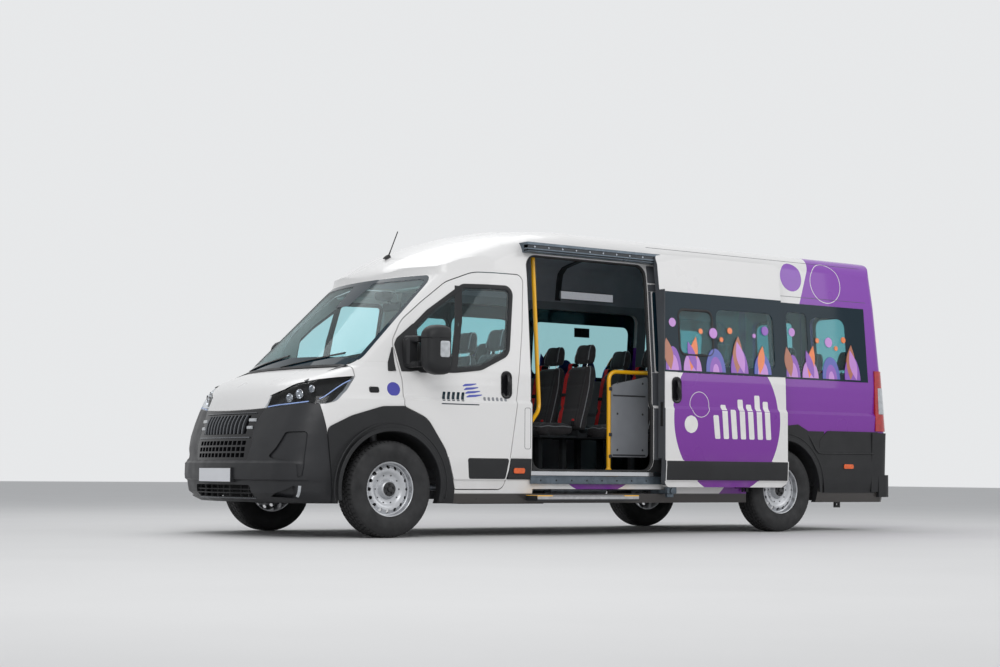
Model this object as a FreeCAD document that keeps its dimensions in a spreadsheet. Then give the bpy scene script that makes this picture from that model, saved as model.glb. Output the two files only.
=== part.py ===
import FreeCAD, Part
import math
import os
import re

import Sketcher

from FreeCAD import Placement, Rotation, Vector

# Long, high-roofed minibus. Millimetres, +X forward, +Y to its left, +Z up.
# The origin is on the ground, midway along and across the vehicle.
os.makedirs("parts", exist_ok=True)
doc = FreeCAD.newDocument("minibus")

# Driving dimensions: name, value
DIMENSIONS = (
    ("overall_length", 6363), ("mirror_span", 2508),
    ("wheelbase", 4035), ("front_overhang", 948),
    ("front_track", 1810), ("rear_track", 1790),
    ("tyre_radius", 362), ("tyre_width", 225), ("rim_radius", 220), ("rim_width", 172),
    ("dish_offset", 52), ("hub_radius", 62), ("disc_offset", 28), ("disc_radius", 140),
    ("arch_radius", 430), ("flare_width", 150), ("liner_skin", 6),
    ("wall", 50), ("glass", 8), ("trim_stand", 10), ("shut_gap", 8),
    ("bonnet_gap", 6), ("seat_gap", 0.3),
    ("floor_height", 500), ("floor_skin", 50), ("roof_seam", 2078),
    ("door_front", 941), ("door_rear", -313), ("door_sill", 508), ("door_top", 2232),
    ("door_corner", 100), ("door_lap", 70), ("door_travel", 1350), ("door_offset", 120),
    ("engine_length", 560), ("engine_width", 560), ("engine_tall", 560),
    ("tank_length", 900), ("tank_width", 425), ("tank_tall", 230),
    ("frame_rail_width", 70), ("frame_rail_tall", 110), ("frame_rail_half_gap", 430),
    ("spring_length", 1300), ("silencer_radius", 50), ("pipe_radius", 28),
    ("cushion_wide", 430), ("cushion_deep", 440), ("cushion_tall", 110), ("cushion_top", 930),
    ("back_tall", 600), ("back_thick", 95), ("back_lean", 12),
    ("headrest_wide", 250), ("headrest_tall", 170), ("headrest_thick", 80),
    ("row_pitch", 780), ("first_row", 640), ("seat_window_place", 690), ("seat_aisle_place", 240),
    ("wheel_rim_radius", 200), ("wheel_grip_radius", 15), ("column_rake", 35),
    ("step_length", 1030), ("step_width", 150), ("step_tall", 40), ("step_height", 275),
    ("rail_radius", 17), ("post_place", -57), ("plate_width", 520), ("plate_height", 111),
)
sheet = doc.addObject("Spreadsheet::Sheet", "dimensions")
for row, (alias, value) in enumerate(DIMENSIONS, start=1):
    sheet.set("A%d" % row, alias)
    sheet.set("B%d" % row, str(value))
    sheet.setAlias("B%d" % row, alias)
doc.recompute()
size = {alias: float(sheet.get(alias)) for alias, value in DIMENSIONS}
ALIASES = set(size)

FRONT_END = size["overall_length"] / 2
FRONT_AXLE = FRONT_END - size["front_overhang"]
REAR_AXLE = FRONT_AXLE - size["wheelbase"]
REAR_END = -FRONT_END
HUB = size["tyre_radius"]
WALL = size["wall"]
GAP = size["shut_gap"]
LEFT = 1
RIGHT = -1
# Reaches past the body for the shapes that cut it: sideways, lengthways, upward and round the nose
FAR = 1400
LONG = 4000
HIGH = 3000
NOSE_BACK = 2600
NOSE_AHEAD = 3400
SCREEN_BACK = 1200
SIDE_INNER = 400
# Clearances where panels butt and where panes sit in their openings
SEAM = 0.5
PANE_GAP = 0.3


# Helpers for sketches bound to the sheet

def formula(text):
    """Put the sheet's name before each alias in a formula."""
    return re.sub(r"[a-z][a-z_]+", lambda word: bound(word.group()), str(text))


def bound(word):
    return "dimensions." + word if word in ALIASES else word


def origin_plane(body, role):
    for feature in body.Origin.OriginFeatures:
        if feature.Role == role:
            return feature
    raise ValueError(role)


def sketch(body, name, role, corners):
    """A closed outline of straight lines whose corners are pairs of formulas."""
    drawing = body.newObject("Sketcher::SketchObject", name)
    drawing.AttachmentSupport = [(origin_plane(body, role), "")]
    drawing.MapMode = "FlatFace"
    points = []
    for across, up in corners:
        x = float(drawing.evalExpression(formula(across)))
        y = float(drawing.evalExpression(formula(up)))
        points.append(Vector(x, y, 0))
    count = len(points)
    for index in range(count):
        line = Part.LineSegment(points[index], points[(index + 1) % count])
        drawing.addGeometry(line, False)
    for index in range(count):
        after = (index + 1) % count
        drawing.addConstraint(Sketcher.Constraint("Coincident", index, 2, after, 1))
    for index, (across, up) in enumerate(corners):
        pairs = (("DistanceX", across, points[index].x), ("DistanceY", up, points[index].y))
        for kind, text, value in pairs:
            number = drawing.addConstraint(Sketcher.Constraint(kind, -1, 1, index, 1, value))
            drawing.renameConstraint(number, "%s_%d" % (kind[-1].lower() + "_place", index))
            drawing.setExpression("Constraints.%s_%d" % (kind[-1].lower() + "_place", index),
                                  formula(text))
    return drawing


def new_body(label):
    body = doc.addObject("PartDesign::Body", label)
    body.Label = label
    return body


def finish_body(body, tip, place):
    body.Tip = tip
    body.Placement = place
    return body


def pad(label, role, corners, length, place):
    """A body padded from one outline, centred on the sketch's plane."""
    body = new_body(label)
    drawing = sketch(body, label + "_outline", role, corners)
    solid = body.newObject("PartDesign::Pad", label + "_pad")
    solid.Profile = drawing
    solid.setExpression("Length", formula(length))
    solid.Midplane = True
    drawing.Visibility = False
    return finish_body(body, solid, place)


def revolve(label, corners, place):
    """A body turned about its Y axis from an outline of (along Y, radius)."""
    body = new_body(label)
    drawing = sketch(body, label + "_outline", "XY_Plane",
                     [(radius, along) for along, radius in corners])
    solid = body.newObject("PartDesign::Revolution", label + "_turned")
    solid.Profile = drawing
    solid.ReferenceAxis = (drawing, ["V_Axis"])
    solid.Angle = 360
    return finish_body(body, solid, place)


# Helpers for the curved shells

def node(label, shape, place=Placement()):
    """A sub-part whose shape is made with Part's own functions."""
    part = doc.addObject("Part::Feature", label)
    part.Label = label
    part.Shape = shape
    part.Placement = place
    return part


def box(x_range, y_range, z_range):
    low = Vector(min(x_range), min(y_range), min(z_range))
    high = Vector(max(x_range), max(y_range), max(z_range))
    return Part.makeBox(high.x - low.x, high.y - low.y, high.z - low.z, low)


def rounded_wire(corners, put):
    """A closed wire through (across, up, radius) corners; put() gives each point's place."""
    count = len(corners)
    starts = []
    ends = []
    middles = []
    for index in range(count):
        x, y, radius = corners[index]
        before = corners[index - 1]
        after = corners[(index + 1) % count]
        a = Vector(before[0] - x, before[1] - y, 0).normalize()
        b = Vector(after[0] - x, after[1] - y, 0).normalize()
        turn = a.getAngle(b)
        corner = Vector(x, y, 0)
        if radius == 0 or turn > math.pi - 0.01:
            starts.append(corner)
            ends.append(corner)
            middles.append(None)
            continue
        reach = radius / math.tan(turn / 2)
        centre = corner + (a + b).normalize() * (radius / math.sin(turn / 2))
        starts.append(corner + a * reach)
        ends.append(corner + b * reach)
        middles.append(centre + (corner - centre).normalize() * radius)
    edges = []
    for index in range(count):
        if middles[index] is not None:
            arc = Part.Arc(put(starts[index]), put(middles[index]), put(ends[index]))
            edges.append(arc.toShape())
        after = (index + 1) % count
        if (starts[after] - ends[index]).Length > 0.01:
            edges.append(Part.LineSegment(put(ends[index]), put(starts[after])).toShape())
    return Part.Wire(edges)


def side_prism(corners, y_from, y_to, grow=0):
    """A prism across the vehicle from an outline seen from its side."""
    corners = [tuple(corner) + (0,) * (3 - len(corner)) for corner in corners]
    wire = rounded_wire(corners, lambda p: Vector(p.x, y_from, p.y))
    if grow:
        wire = wire.makeOffset2D(grow, 2)
    return Part.Face(wire).extrude(Vector(0, y_to - y_from, 0))


def front_prism(corners, x_from, x_to, grow=0):
    """A prism along the vehicle from an outline seen from its front."""
    corners = [tuple(corner) + (0,) * (3 - len(corner)) for corner in corners]
    wire = rounded_wire(corners, lambda p: Vector(x_from, p.x, p.y))
    if grow:
        wire = wire.makeOffset2D(grow, 2)
    return Part.Face(wire).extrude(Vector(x_to - x_from, 0, 0))


def from_axle(corners):
    """Side outlines are measured from the front axle."""
    return [(FRONT_AXLE + corner[0],) + tuple(corner[1:]) for corner in corners]


def mirrored(shape):
    return shape.mirror(Vector(0, 0, 0), Vector(0, 1, 0))


def axle_cylinder(axle, radius, y_from, y_to):
    return Part.makeCylinder(radius, y_to - y_from, Vector(axle, y_from, HUB), Vector(0, 1, 0))


def bent_tube(points, radius, bend):
    """A round tube along straight runs that arcs of one radius join."""
    points = [Vector(*point) for point in points]
    edges = []
    start = points[0]
    for before, corner, after in zip(points, points[1:], points[2:]):
        a = (before - corner).normalize()
        b = (after - corner).normalize()
        turn = a.getAngle(b)
        reach = bend / math.tan(turn / 2)
        centre = corner + (a + b).normalize() * (bend / math.sin(turn / 2))
        middle = centre + (corner - centre).normalize() * bend
        edges.append(Part.LineSegment(start, corner + a * reach).toShape())
        edges.append(Part.Arc(corner + a * reach, middle, corner + b * reach).toShape())
        start = corner + b * reach
    edges.append(Part.LineSegment(start, points[-1]).toShape())
    way = points[1] - points[0]
    ring = Part.Wire([Part.Circle(points[0], way, radius).toShape()])
    return Part.Wire(edges).makePipeShell([ring], True, False)


def solids(*shapes):
    """Like pieces that share a node and don't touch."""
    return Part.makeCompound([solid for shape in shapes for solid in shape.Solids])


# Body form. Plan outline at each height: the nose's place ahead of the front axle, the radius
# of the nose's bow and of its corners, the half width, the half width that the side's taper
# reaches at the nose, where that taper starts, and the tail's distance from the rear end.
# height, nose, bow, corner, half, nose_half, taper, tail
PLAN = (
    (255, 800, 2600, 350, 988, 880, -100, 61),
    (285, 868, 2600, 350, 995, 892, -100, 59),
    (330, 910, 2600, 350, 1003, 900, -100, 57),
    (415, 924, 2600, 350, 1014, 902, -100, 57),
    (428, 944, 2600, 350, 1016, 905, -100, 57),
    (460, 948, 2600, 350, 1019, 905, -100, 57),
    (548, 945, 2600, 345, 1024, 905, -100, 57),
    (566, 927, 2600, 340, 1025, 903, -100, 57),
    (660, 916, 2600, 335, 1025, 904, -100, 57),
    (760, 895, 2600, 330, 1025, 905, -100, 57),
    (860, 864, 2550, 325, 1025, 903, -100, 57),
    (950, 830, 2500, 320, 1025, 900, -100, 57),
    (1030, 795, 2400, 300, 1025, 895, -100, 57),
    (1058, 781, 2400, 298, 1005, 880, -120, 58),
    (1097, 757, 2400, 290, 1004, 865, -150, 59),
    (1134, 722, 2400, 273, 1004, 849, -175, 60),
    (1170, 674, 2400, 250, 1003, 836, -200, 61),
    (1198, 622, 2400, 218, 1002, 829, -230, 62),
    (1225, 556, 2400, 180, 1002, 825, -260, 63),
    (1253, 480, 2400, 140, 1001, 822, -280, 64),
    (1280, 400, 2400, 100, 1001, 820, -300, 65),
    (2030, -390, 2400, 110, 941, 800, -950, 102),
    (2070, -395, 2300, 130, 936, 790, -970, 104),
    (2600, -420, 1800, 250, 866, 700, -1100, 130),
)
REAR_CORNER = 95

# Roof seen across the vehicle: place from the front axle, top, crown radius, corner radius
ROOF = (
    (-6000, 2522, 4000, 190),
    (-1800, 2522, 4000, 190),
    (-1400, 2490, 3800, 200),
    (-1130, 2435, 3500, 210),
    (-900, 2365, 3200, 220),
    (-700, 2290, 3000, 230),
    (-560, 2215, 3000, 230),
    (-440, 2130, 3000, 230),
    (-385, 2045, 3000, 230),
    (1300, 2045, 3000, 230),
)
ROOF_SIDE = (936, 2070, 0.132)


def tangent_corner(px, py, nx, ny, cx, cy, big, small):
    """Corner arc between a line (point, inward normal) and a circle that it rounds inside."""
    dx, dy = -ny, nx
    qx = px + nx * small - cx
    qy = py + ny * small - cy
    b = qx * dx + qy * dy
    c = qx * qx + qy * qy - (big - small) ** 2
    root = math.sqrt(b * b - c)
    options = []
    for step in (-b + root, -b - root):
        ox = cx + qx + step * dx
        oy = cy + qy + step * dy
        line_touch = (ox - nx * small, oy - ny * small)
        scale = big / math.hypot(ox - cx, oy - cy)
        bow_touch = (cx + (ox - cx) * scale, cy + (oy - cy) * scale)
        first = math.atan2(line_touch[1] - oy, line_touch[0] - ox)
        second = math.atan2(bow_touch[1] - oy, bow_touch[0] - ox)
        middle = (first + second) / 2
        mid_touch = (ox + small * math.cos(middle), oy + small * math.sin(middle))
        options.append((line_touch, mid_touch, bow_touch))
    return options


def plan_wire(level, inset):
    height, nose, bow, corner, half, nose_half, taper, tail = level
    nose = FRONT_AXLE + nose - inset
    bow = bow - inset
    corner = max(corner - inset, 20)
    rear_corner = max(REAR_CORNER - inset, 20)
    half = half - inset
    nose_half = nose_half - inset
    taper = FRONT_AXLE + taper
    tail = REAR_END + tail + inset
    length = math.hypot(nose - taper, nose_half - half)
    nx = (nose_half - half) / length
    ny = -(nose - taper) / length
    options = tangent_corner(taper, half, nx, ny, nose - bow, 0, bow, corner)
    side, mid, front = max(options, key=lambda option: option[2][0])
    q = math.sqrt(0.5)

    def at(x, y):
        return Vector(x, y, height)

    turn = rear_corner - rear_corner * q
    edges = [
        Part.LineSegment(at(tail, rear_corner - half), at(tail, half - rear_corner)),
        Part.Arc(at(tail, half - rear_corner), at(tail + turn, half - turn),
                 at(tail + rear_corner, half)),
        Part.LineSegment(at(tail + rear_corner, half), at(taper, half)),
        Part.LineSegment(at(taper, half), at(*side)),
        Part.Arc(at(*side), at(*mid), at(*front)),
        Part.Arc(at(*front), at(nose, 0), at(front[0], -front[1])),
        Part.Arc(at(front[0], -front[1]), at(mid[0], -mid[1]), at(side[0], -side[1])),
        Part.LineSegment(at(side[0], -side[1]), at(taper, -half)),
        Part.LineSegment(at(taper, -half), at(tail + rear_corner, -half)),
        Part.Arc(at(tail + rear_corner, -half), at(tail + turn, turn - half),
                 at(tail, rear_corner - half)),
    ]
    return Part.Wire([edge.toShape() for edge in edges])


def plan_stack(inset, top=None):
    """The body seen from above, as a ruled stack of its plan outlines."""
    levels = [level for level in PLAN if top is None or level[0] <= top]
    wires = [plan_wire(level, inset) for level in levels]
    if inset > 0:
        low = (levels[0][0] - 60,) + levels[0][1:]
        wires.insert(0, plan_wire(low, inset))
    return Part.makeLoft(wires, True, True)


def roof_wire(station, inset):
    place, top, crown, corner = station
    place = FRONT_AXLE + place
    top = top - inset
    crown = crown - inset
    corner = corner - inset
    slope = ROOF_SIDE[2]
    length = math.hypot(slope, 1)
    nx = -1 / length
    ny = -slope / length
    side_y = ROOF_SIDE[0] - inset + 2
    options = tangent_corner(side_y, ROOF_SIDE[1], nx, ny, 0, top - crown, crown, corner)
    side, mid, front = max(options, key=lambda option: option[2][1])
    far = 1300
    low = 150

    def at(y, z):
        return Vector(place, y, z)

    edges = [
        Part.LineSegment(at(-far, low), at(far, low)),
        Part.LineSegment(at(far, low), at(far, side[1])),
        Part.LineSegment(at(far, side[1]), at(*side)),
        Part.Arc(at(*side), at(*mid), at(*front)),
        Part.Arc(at(*front), at(0, top), at(-front[0], front[1])),
        Part.Arc(at(-front[0], front[1]), at(-mid[0], mid[1]), at(-side[0], side[1])),
        Part.LineSegment(at(-side[0], side[1]), at(-far, side[1])),
        Part.LineSegment(at(-far, side[1]), at(-far, low)),
    ]
    return Part.Wire([edge.toShape() for edge in edges])


def roof_loft(inset):
    return Part.makeLoft([roof_wire(station, inset) for station in ROOF], True, True)


def half_width_at(height):
    """The body's half width at a height, between the plan's levels."""
    for below, above in zip(PLAN, PLAN[1:]):
        if below[0] <= height <= above[0]:
            share = (height - below[0]) / (above[0] - below[0])
            return below[4] + share * (above[4] - below[4])
    return PLAN[0][4]


outer = plan_stack(0).common(roof_loft(0))
cavity = plan_stack(WALL).common(roof_loft(WALL))
shell = outer.cut(cavity)
glass_skin = plan_stack(0, 2070).cut(plan_stack(size["glass"], 2070))
trim_skin = plan_stack(-size["trim_stand"], 1280).cut(plan_stack(0, 1280))

# Side outlines from the front axle, with corner radii: (place, height, radius)
DOOR = (
    (-104, 984, 20), (-104, 1190, 60), (-70, 1475, 120), (-163, 1637, 300), (-341, 1789, 300),
    (-565, 1962, 200), (-800, 2052, 300), (-1250, 2056, 60), (-1219, 1604, 400),
    (-1183, 1328, 300), (-1143, 1010, 300), (-1064, 513, 100), (-1015, 365, 60),
    (-575, 365, 10), (-480, 661, 300), (-310, 900, 200),
)
DOOR_WINDOW = (
    (-240, 1256, 30), (-576, 1268, 200), (-812, 1296, 120), (-1075, 1420, 90), (-1135, 1948, 60),
    (-700, 1940, 60), (-385, 1720, 200), (-245, 1590, 60),
)
WING = (
    (-564, 200), (-564, 365, 10), (-480, 661, 300), (-310, 900, 200), (-104, 984, 20),
    (-104, 1190, 60), (-85, 1318), (262, 1318), (262, 1198), (352, 1090, 80), (452, 1007, 80),
    (533, 984, 40), (566, 988, 10), (528, 810, 60), (466, 200),
)
LAMP = ((264, 1196, 8), (400, 1183, 200), (520, 1166, 200), (622, 1137, 150), (705, 1074, 150),
        (850, 948, 20), (850, 940), (741, 967, 60), (662, 990, 80), (566, 988, 10), (533, 984, 40),
        (452, 1007, 80), (352, 1090, 80))
BUMPER = ((466, 200), (528, 810, 60), (566, 988, 10), (662, 990, 80), (741, 967, 60), (850, 940),
          (1100, 936), (1100, 200))
BONNET_TOP = 1276
BONNET = ((266, 1196), (400, 1183, 200), (520, 1166, 200), (622, 1137, 150), (705, 1074, 150),
          (850, 948), (1100, 944), (1100, BONNET_TOP), (266, BONNET_TOP))
# Front outlines: (across, height, radius)
GRILLE = ((-405, 570, 25), (405, 570, 25), (440, 690, 80), (412, 830, 80), (480, 965, 20),
          (-480, 965, 20), (-412, 830, 80), (-440, 690, 80))
LOWER_INTAKE = ((-450, 295, 20), (450, 295, 20), (430, 385, 20), (-430, 385, 20))
WINDSCREEN = ((-845, 1292, 70), (845, 1292, 70), (775, 2018, 90), (-775, 2018, 90))
REAR_DOORS = ((-781, 512, 40), (781, 512, 40), (781, 1400, 20), (735, 2300, 120),
              (-735, 2300, 120), (-781, 1400, 20))
REAR_WINDOW = ((120, 1330, 70), (690, 1330, 70), (665, 2000, 80), (120, 2000, 80))

front_arches = axle_cylinder(FRONT_AXLE, size["arch_radius"], -FAR, FAR)
rear_arches = axle_cylinder(REAR_AXLE, size["arch_radius"], -FAR, FAR)
shell = shell.cut(front_arches.common(box((0, LONG), (-FAR, FAR), (0, 1200))))
shell = shell.cut(rear_arches)


def half(side, low=0):
    """Everything on one side of the vehicle."""
    return box((-LONG, LONG), (side * low, side * FAR), (0, HIGH))


def on_side(corners, side, grow=0):
    return side_prism(from_axle(corners), side * SIDE_INNER, side * FAR, grow)


# Front end
bumper = shell.common(side_prism(from_axle(BUMPER), -FAR, FAR, -SEAM))
bumper = bumper.cut(front_prism(GRILLE, NOSE_BACK, NOSE_AHEAD, size["seat_gap"]))
bumper = bumper.cut(front_prism(LOWER_INTAKE, NOSE_BACK, NOSE_AHEAD))
plate_half = size["plate_width"] / 2
PLATE_MIDDLE = 458
PLATE_STAND = 30
plate_low = PLATE_MIDDLE - size["plate_height"] / 2
plate_seat = box((FRONT_END - PLATE_STAND, FRONT_END), (-plate_half, plate_half),
                 (plate_low, plate_low + size["plate_height"]))
bumper = bumper.fuse(plate_seat.cut(cavity))
# Sunk panels at the bumper's corners, and the lamp pockets below them
FIN = ((770, 778, 25), (655, 785, 25), (697, 455, 12), (728, 436, 12), (737, 545, 25), (848, 585, 25))
FOG = ((812, 330, 6), (728, 392, 12), (700, 292, 12), (806, 300, 6))
FIN_DEPTH = 14
FOG_DEPTH = 38
for outline, depth in ((FIN, FIN_DEPTH), (FOG, FOG_DEPTH)):
    skin = outer.cut(plan_stack(depth, 860))
    for side in (LEFT, RIGHT):
        bumper = bumper.cut(skin.common(on_side(outline, side)))
node("front_bumper", bumper)

# The grille: upright slots over a mesh of square holes
grille_block = shell.common(front_prism(GRILLE, NOSE_BACK, NOSE_AHEAD))
grille_block = grille_block.common(side_prism(from_axle(BUMPER), -FAR, FAR, -SEAM))
UPPER_SLOTS = (765, 905)
SLOT_COUNT = 13
SLOT_PITCH = 54
SLOT_WIDE = 32
MESH_ROWS = ((590, 622), (636, 668), (682, 714))
MESH_COUNT = 12
MESH_PITCH = 62
MESH_WIDE = 48


def spread(count, pitch, wide):
    """The two sides of each hole in an even row about the middle."""
    for index in range(count):
        across = (index - (count - 1) / 2) * pitch
        yield across - wide / 2, across + wide / 2


slots = []
for span in spread(SLOT_COUNT, SLOT_PITCH, SLOT_WIDE):
    slots.append(box((NOSE_BACK, NOSE_AHEAD), span, UPPER_SLOTS))
for span in spread(MESH_COUNT, MESH_PITCH, MESH_WIDE):
    for low, high in MESH_ROWS:
        slots.append(box((NOSE_BACK, NOSE_AHEAD), span, (low, high)))
grille_shape = grille_block.cut(Part.makeCompound(slots))
node("grille", grille_shape)

lamps = shell.common(side_prism(from_axle(LAMP), -FAR, FAR, -SEAM))
lamps = lamps.cut(front_prism(((-440, 900), (440, 900), (500, 1100), (-500, 1100)),
                              NOSE_BACK, NOSE_AHEAD))
node("headlamps", solids(lamps))

wings = shell.common(side_prism(from_axle(WING), -FAR, FAR, -SEAM))
wings = wings.cut(box((0, LONG), (-700, 700), (0, HIGH)))
wings = wings.cut(side_prism(from_axle(DOOR), -FAR, FAR, GAP))
wings = wings.cut(front_prism(WINDSCREEN, SCREEN_BACK, NOSE_AHEAD))
node("front_wings", solids(wings))

bonnet = shell.common(side_prism(from_axle(BONNET), -FAR, FAR, -size["bonnet_gap"]))
# The bonnet keeps out from under the cowl above its rear edge, so that it lifts clear
COWL_DEPTH = 120
cowl = shell.common(box((FRONT_AXLE + 200, LONG), (-FAR, FAR), (BONNET_TOP, BONNET_TOP + 20)))
for face in cowl.Faces:
    if face.BoundBox.ZMax < BONNET_TOP + 0.1:
        shadow = face.extrude(Vector(0, 0, -COWL_DEPTH))
        bonnet = bonnet.cut(shadow.translated(Vector(size["bonnet_gap"], 0, 0)))
node("bonnet", bonnet)

# Cab doors
STRIP = (437, 607)
strip_zone = box((-LONG, LONG), (-FAR, FAR), STRIP)
CAB_ZONE = ((-1292, 200), (-1292, 2078), (-200, 2078), (1200, 1284), (1200, 200))
cab = shell.common(side_prism(from_axle(CAB_ZONE), -FAR, FAR))
for side, word in ((LEFT, "left"), (RIGHT, "right")):
    panel = shell.common(on_side(DOOR, side))
    panel = panel.cut(on_side(DOOR_WINDOW, side))
    strip = trim_skin.common(on_side(DOOR, side)).common(strip_zone)
    panel = panel.fuse(strip)
    node("front_door_" + word, panel)
    pane = glass_skin.common(on_side(DOOR_WINDOW, side, -PANE_GAP))
    node("front_door_glass_" + word, pane)
    cab = cab.cut(on_side(DOOR, side, GAP))

cab_frame = cab.cut(front_prism(WINDSCREEN, SCREEN_BACK, NOSE_AHEAD))
cab_frame = cab_frame.cut(side_prism(from_axle(WING), -FAR, FAR))
cab_frame = cab_frame.cut(box((FRONT_AXLE - 100, LONG), (-FAR, FAR), (0, 1283)))
node("cab_frame", cab_frame)
windscreen = glass_skin.common(front_prism(WINDSCREEN, SCREEN_BACK, NOSE_AHEAD, -PANE_GAP))
windscreen = windscreen.common(box((FRONT_AXLE - 700, LONG), (-FAR, FAR), (1200, 2078)))
node("windscreen", windscreen)


# Sides and roof behind the cab doors. x_front, x_rear, side of each window
SIDE_WINDOWS = (
    (-430, -1750, LEFT), (-1853, -2886, LEFT),
    (880, -290, RIGHT), (-430, -1750, RIGHT), (-1853, -2886, RIGHT),
)
WINDOW_HEIGHTS = (1360, 2007)
WINDOW_CORNER = 80
opening = ((size["door_rear"], size["door_sill"], size["door_corner"]),
           (size["door_front"], size["door_sill"], size["door_corner"]),
           (size["door_front"], size["door_top"], size["door_corner"]),
           (size["door_rear"], size["door_top"], size["door_corner"]))
doorway = side_prism(opening, SIDE_INNER, FAR)
rear_doorway = front_prism(REAR_DOORS, REAR_END - 100, REAR_END + 400, GAP)
rear_sill_zone = box((REAR_END - 100, REAR_END + 300), (-781, 781), (0, 600))
LAMP_ZONE = ((812, 895, 15), (1100, 895, 15), (1100, 1449, 15), (812, 1449, 15))
lamp_zone = front_prism(LAMP_ZONE, REAR_END - 100, REAR_END + 135)
lamp_zone = lamp_zone.fuse(mirrored(lamp_zone))
B_PILLAR = FRONT_AXLE - 1292


def window_outline(x_front, x_rear, low, high, corner):
    return ((x_rear, low, corner), (x_front, low, corner), (x_front, high, corner),
            (x_rear, high, corner))


panes = []
window_cuts = []
for x_front, x_rear, side in SIDE_WINDOWS:
    outline = window_outline(x_front, x_rear, WINDOW_HEIGHTS[0], WINDOW_HEIGHTS[1], WINDOW_CORNER)
    window_cuts.append(side_prism(outline, side * SIDE_INNER, side * FAR))
    panes.append(glass_skin.common(side_prism(outline, side * SIDE_INNER, side * FAR, -PANE_GAP)))
side_zone = box((REAR_END - 100, B_PILLAR), (-FAR, FAR), (0, size["roof_seam"]))
sides = shell.common(side_zone).cut(rear_doorway).cut(rear_sill_zone).cut(lamp_zone)
sides = sides.cut(doorway)
for cut in window_cuts:
    sides = sides.cut(cut)
LOWER_TRACK = (328, 366)
track_slot = box((size["door_rear"] - 180, size["door_front"] - 20), (900, FAR), LOWER_TRACK)
node("side_panel_left", sides.common(half(LEFT)).cut(track_slot))
node("side_panel_right", sides.common(half(RIGHT)))
rear_lamps = shell.common(lamp_zone)
node("rear_lamps", solids(rear_lamps))
roof = shell.common(box((-LONG, LONG), (-FAR, FAR), (size["roof_seam"], HIGH)))
roof = roof.cut(rear_doorway).cut(doorway)
node("roof_panel", roof)

# Black lower cladding: wheel-arch flares, rear quarters and sill strips
FLARE = ((-564, 255), (-564, 365, 10), (-480, 661, 300), (-310, 900, 200), (-110, 985, 150),
         (80, 980, 200), (330, 905, 200), (528, 810, 60), (466, 255))
REAR_CLADDING = ((-430, 375), (-430, 800, 60), (-530, 887, 60), (-1185, 887, 20), (-1185, 375))
flares = trim_skin.common(side_prism(from_axle(FLARE), -FAR, FAR))
flares = flares.cut(front_arches).cut(box((0, LONG), (-700, 700), (0, HIGH)))
flares = flares.cut(side_prism(from_axle(DOOR), -FAR, FAR, GAP))
rear_ring = axle_cylinder(REAR_AXLE, size["arch_radius"] + size["flare_width"] - 15, -FAR, FAR)
rear_ring = rear_ring.common(box((-LONG, 0), (-FAR, FAR), (375, 2000)))
quarter = side_prism([(REAR_AXLE + place[0],) + place[1:] for place in REAR_CLADDING], -FAR, FAR)
rear_flares = trim_skin.common(rear_ring.fuse(quarter)).cut(rear_arches)
rear_flares = rear_flares.cut(box((-LONG, 0), (-900, 900), (0, 2000)))
strips = trim_skin.common(strip_zone).common(box((REAR_AXLE + 560, B_PILLAR), (-FAR, FAR), STRIP))
strips = strips.cut(doorway).cut(box((-LONG, LONG), (-900, 900), (0, 2000)))
node("side_cladding", solids(flares, rear_flares, strips))

rear_plan = rounded_wire(((REAR_END, -1032, 110), (REAR_END, 1032, 110), (-2990, 1032, 0),
                          (-2990, -1032, 0)), lambda p: Vector(p.x, p.y, 300))
rear_bumper = Part.Face(rear_plan).extrude(Vector(0, 0, 200)).cut(outer)
rear_bumper = rear_bumper.fuse(shell.common(rear_sill_zone.common(box((-LONG, 0), (-FAR, FAR),
                                                                     (0, 500)))))
node("rear_bumper", rear_bumper)

# Rear doors, on hinges whose line leans with the tail
HINGE_LEAN = 0.045
HINGE_FOOT = Vector(REAR_END + 41.5, 786, 1030)
REAR_HINGES = (700, 1330, 2000)
HINGE_REACH = 45
BARREL_RADIUS = 8
hinge_way = Vector(HINGE_LEAN, 0, 1).normalize()


def rear_hinge(height, leaf_reach, low, high):
    """One half of a hinge: its barrel and the leaf that reaches the door or the body."""
    foot = HINGE_FOOT + Vector(HINGE_LEAN, 0, 1) * (height - HINGE_FOOT.z)
    barrel = Part.makeCylinder(BARREL_RADIUS, high - low, foot + hinge_way * low, hinge_way)
    leaf = box((foot.x - 4, foot.x + 40), (foot.y, foot.y + leaf_reach),
               (height + low + 2, height + high - 2))
    return barrel.fuse(leaf)


body_hinges = []
for side, word in ((LEFT, "left"), (RIGHT, "right")):
    wall = outer.cut(cavity).common(front_prism(REAR_DOORS, REAR_END - 100, REAR_END + 400))
    leaf = wall.common(half(side, GAP / 2))
    pane_cut = front_prism([(side * c[0],) + c[1:] for c in REAR_WINDOW], REAR_END - 100, -2900)
    pane_in = front_prism([(side * c[0],) + c[1:] for c in REAR_WINDOW], REAR_END - 100, -2900,
                          -PANE_GAP)
    leaf = leaf.cut(pane_cut)
    for height in REAR_HINGES:
        door_half = rear_hinge(height, -50, size["seat_gap"] / 2, HINGE_REACH)
        body_half = rear_hinge(height, 60, -HINGE_REACH, -size["seat_gap"] / 2).cut(outer)
        if side == RIGHT:
            door_half = mirrored(door_half)
            body_half = mirrored(body_half)
        leaf = leaf.fuse(door_half.cut(outer))
        body_hinges.append(body_half)
    node("rear_door_" + word, leaf)
    node("rear_door_glass_" + word, glass_skin.common(pane_in))

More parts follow.
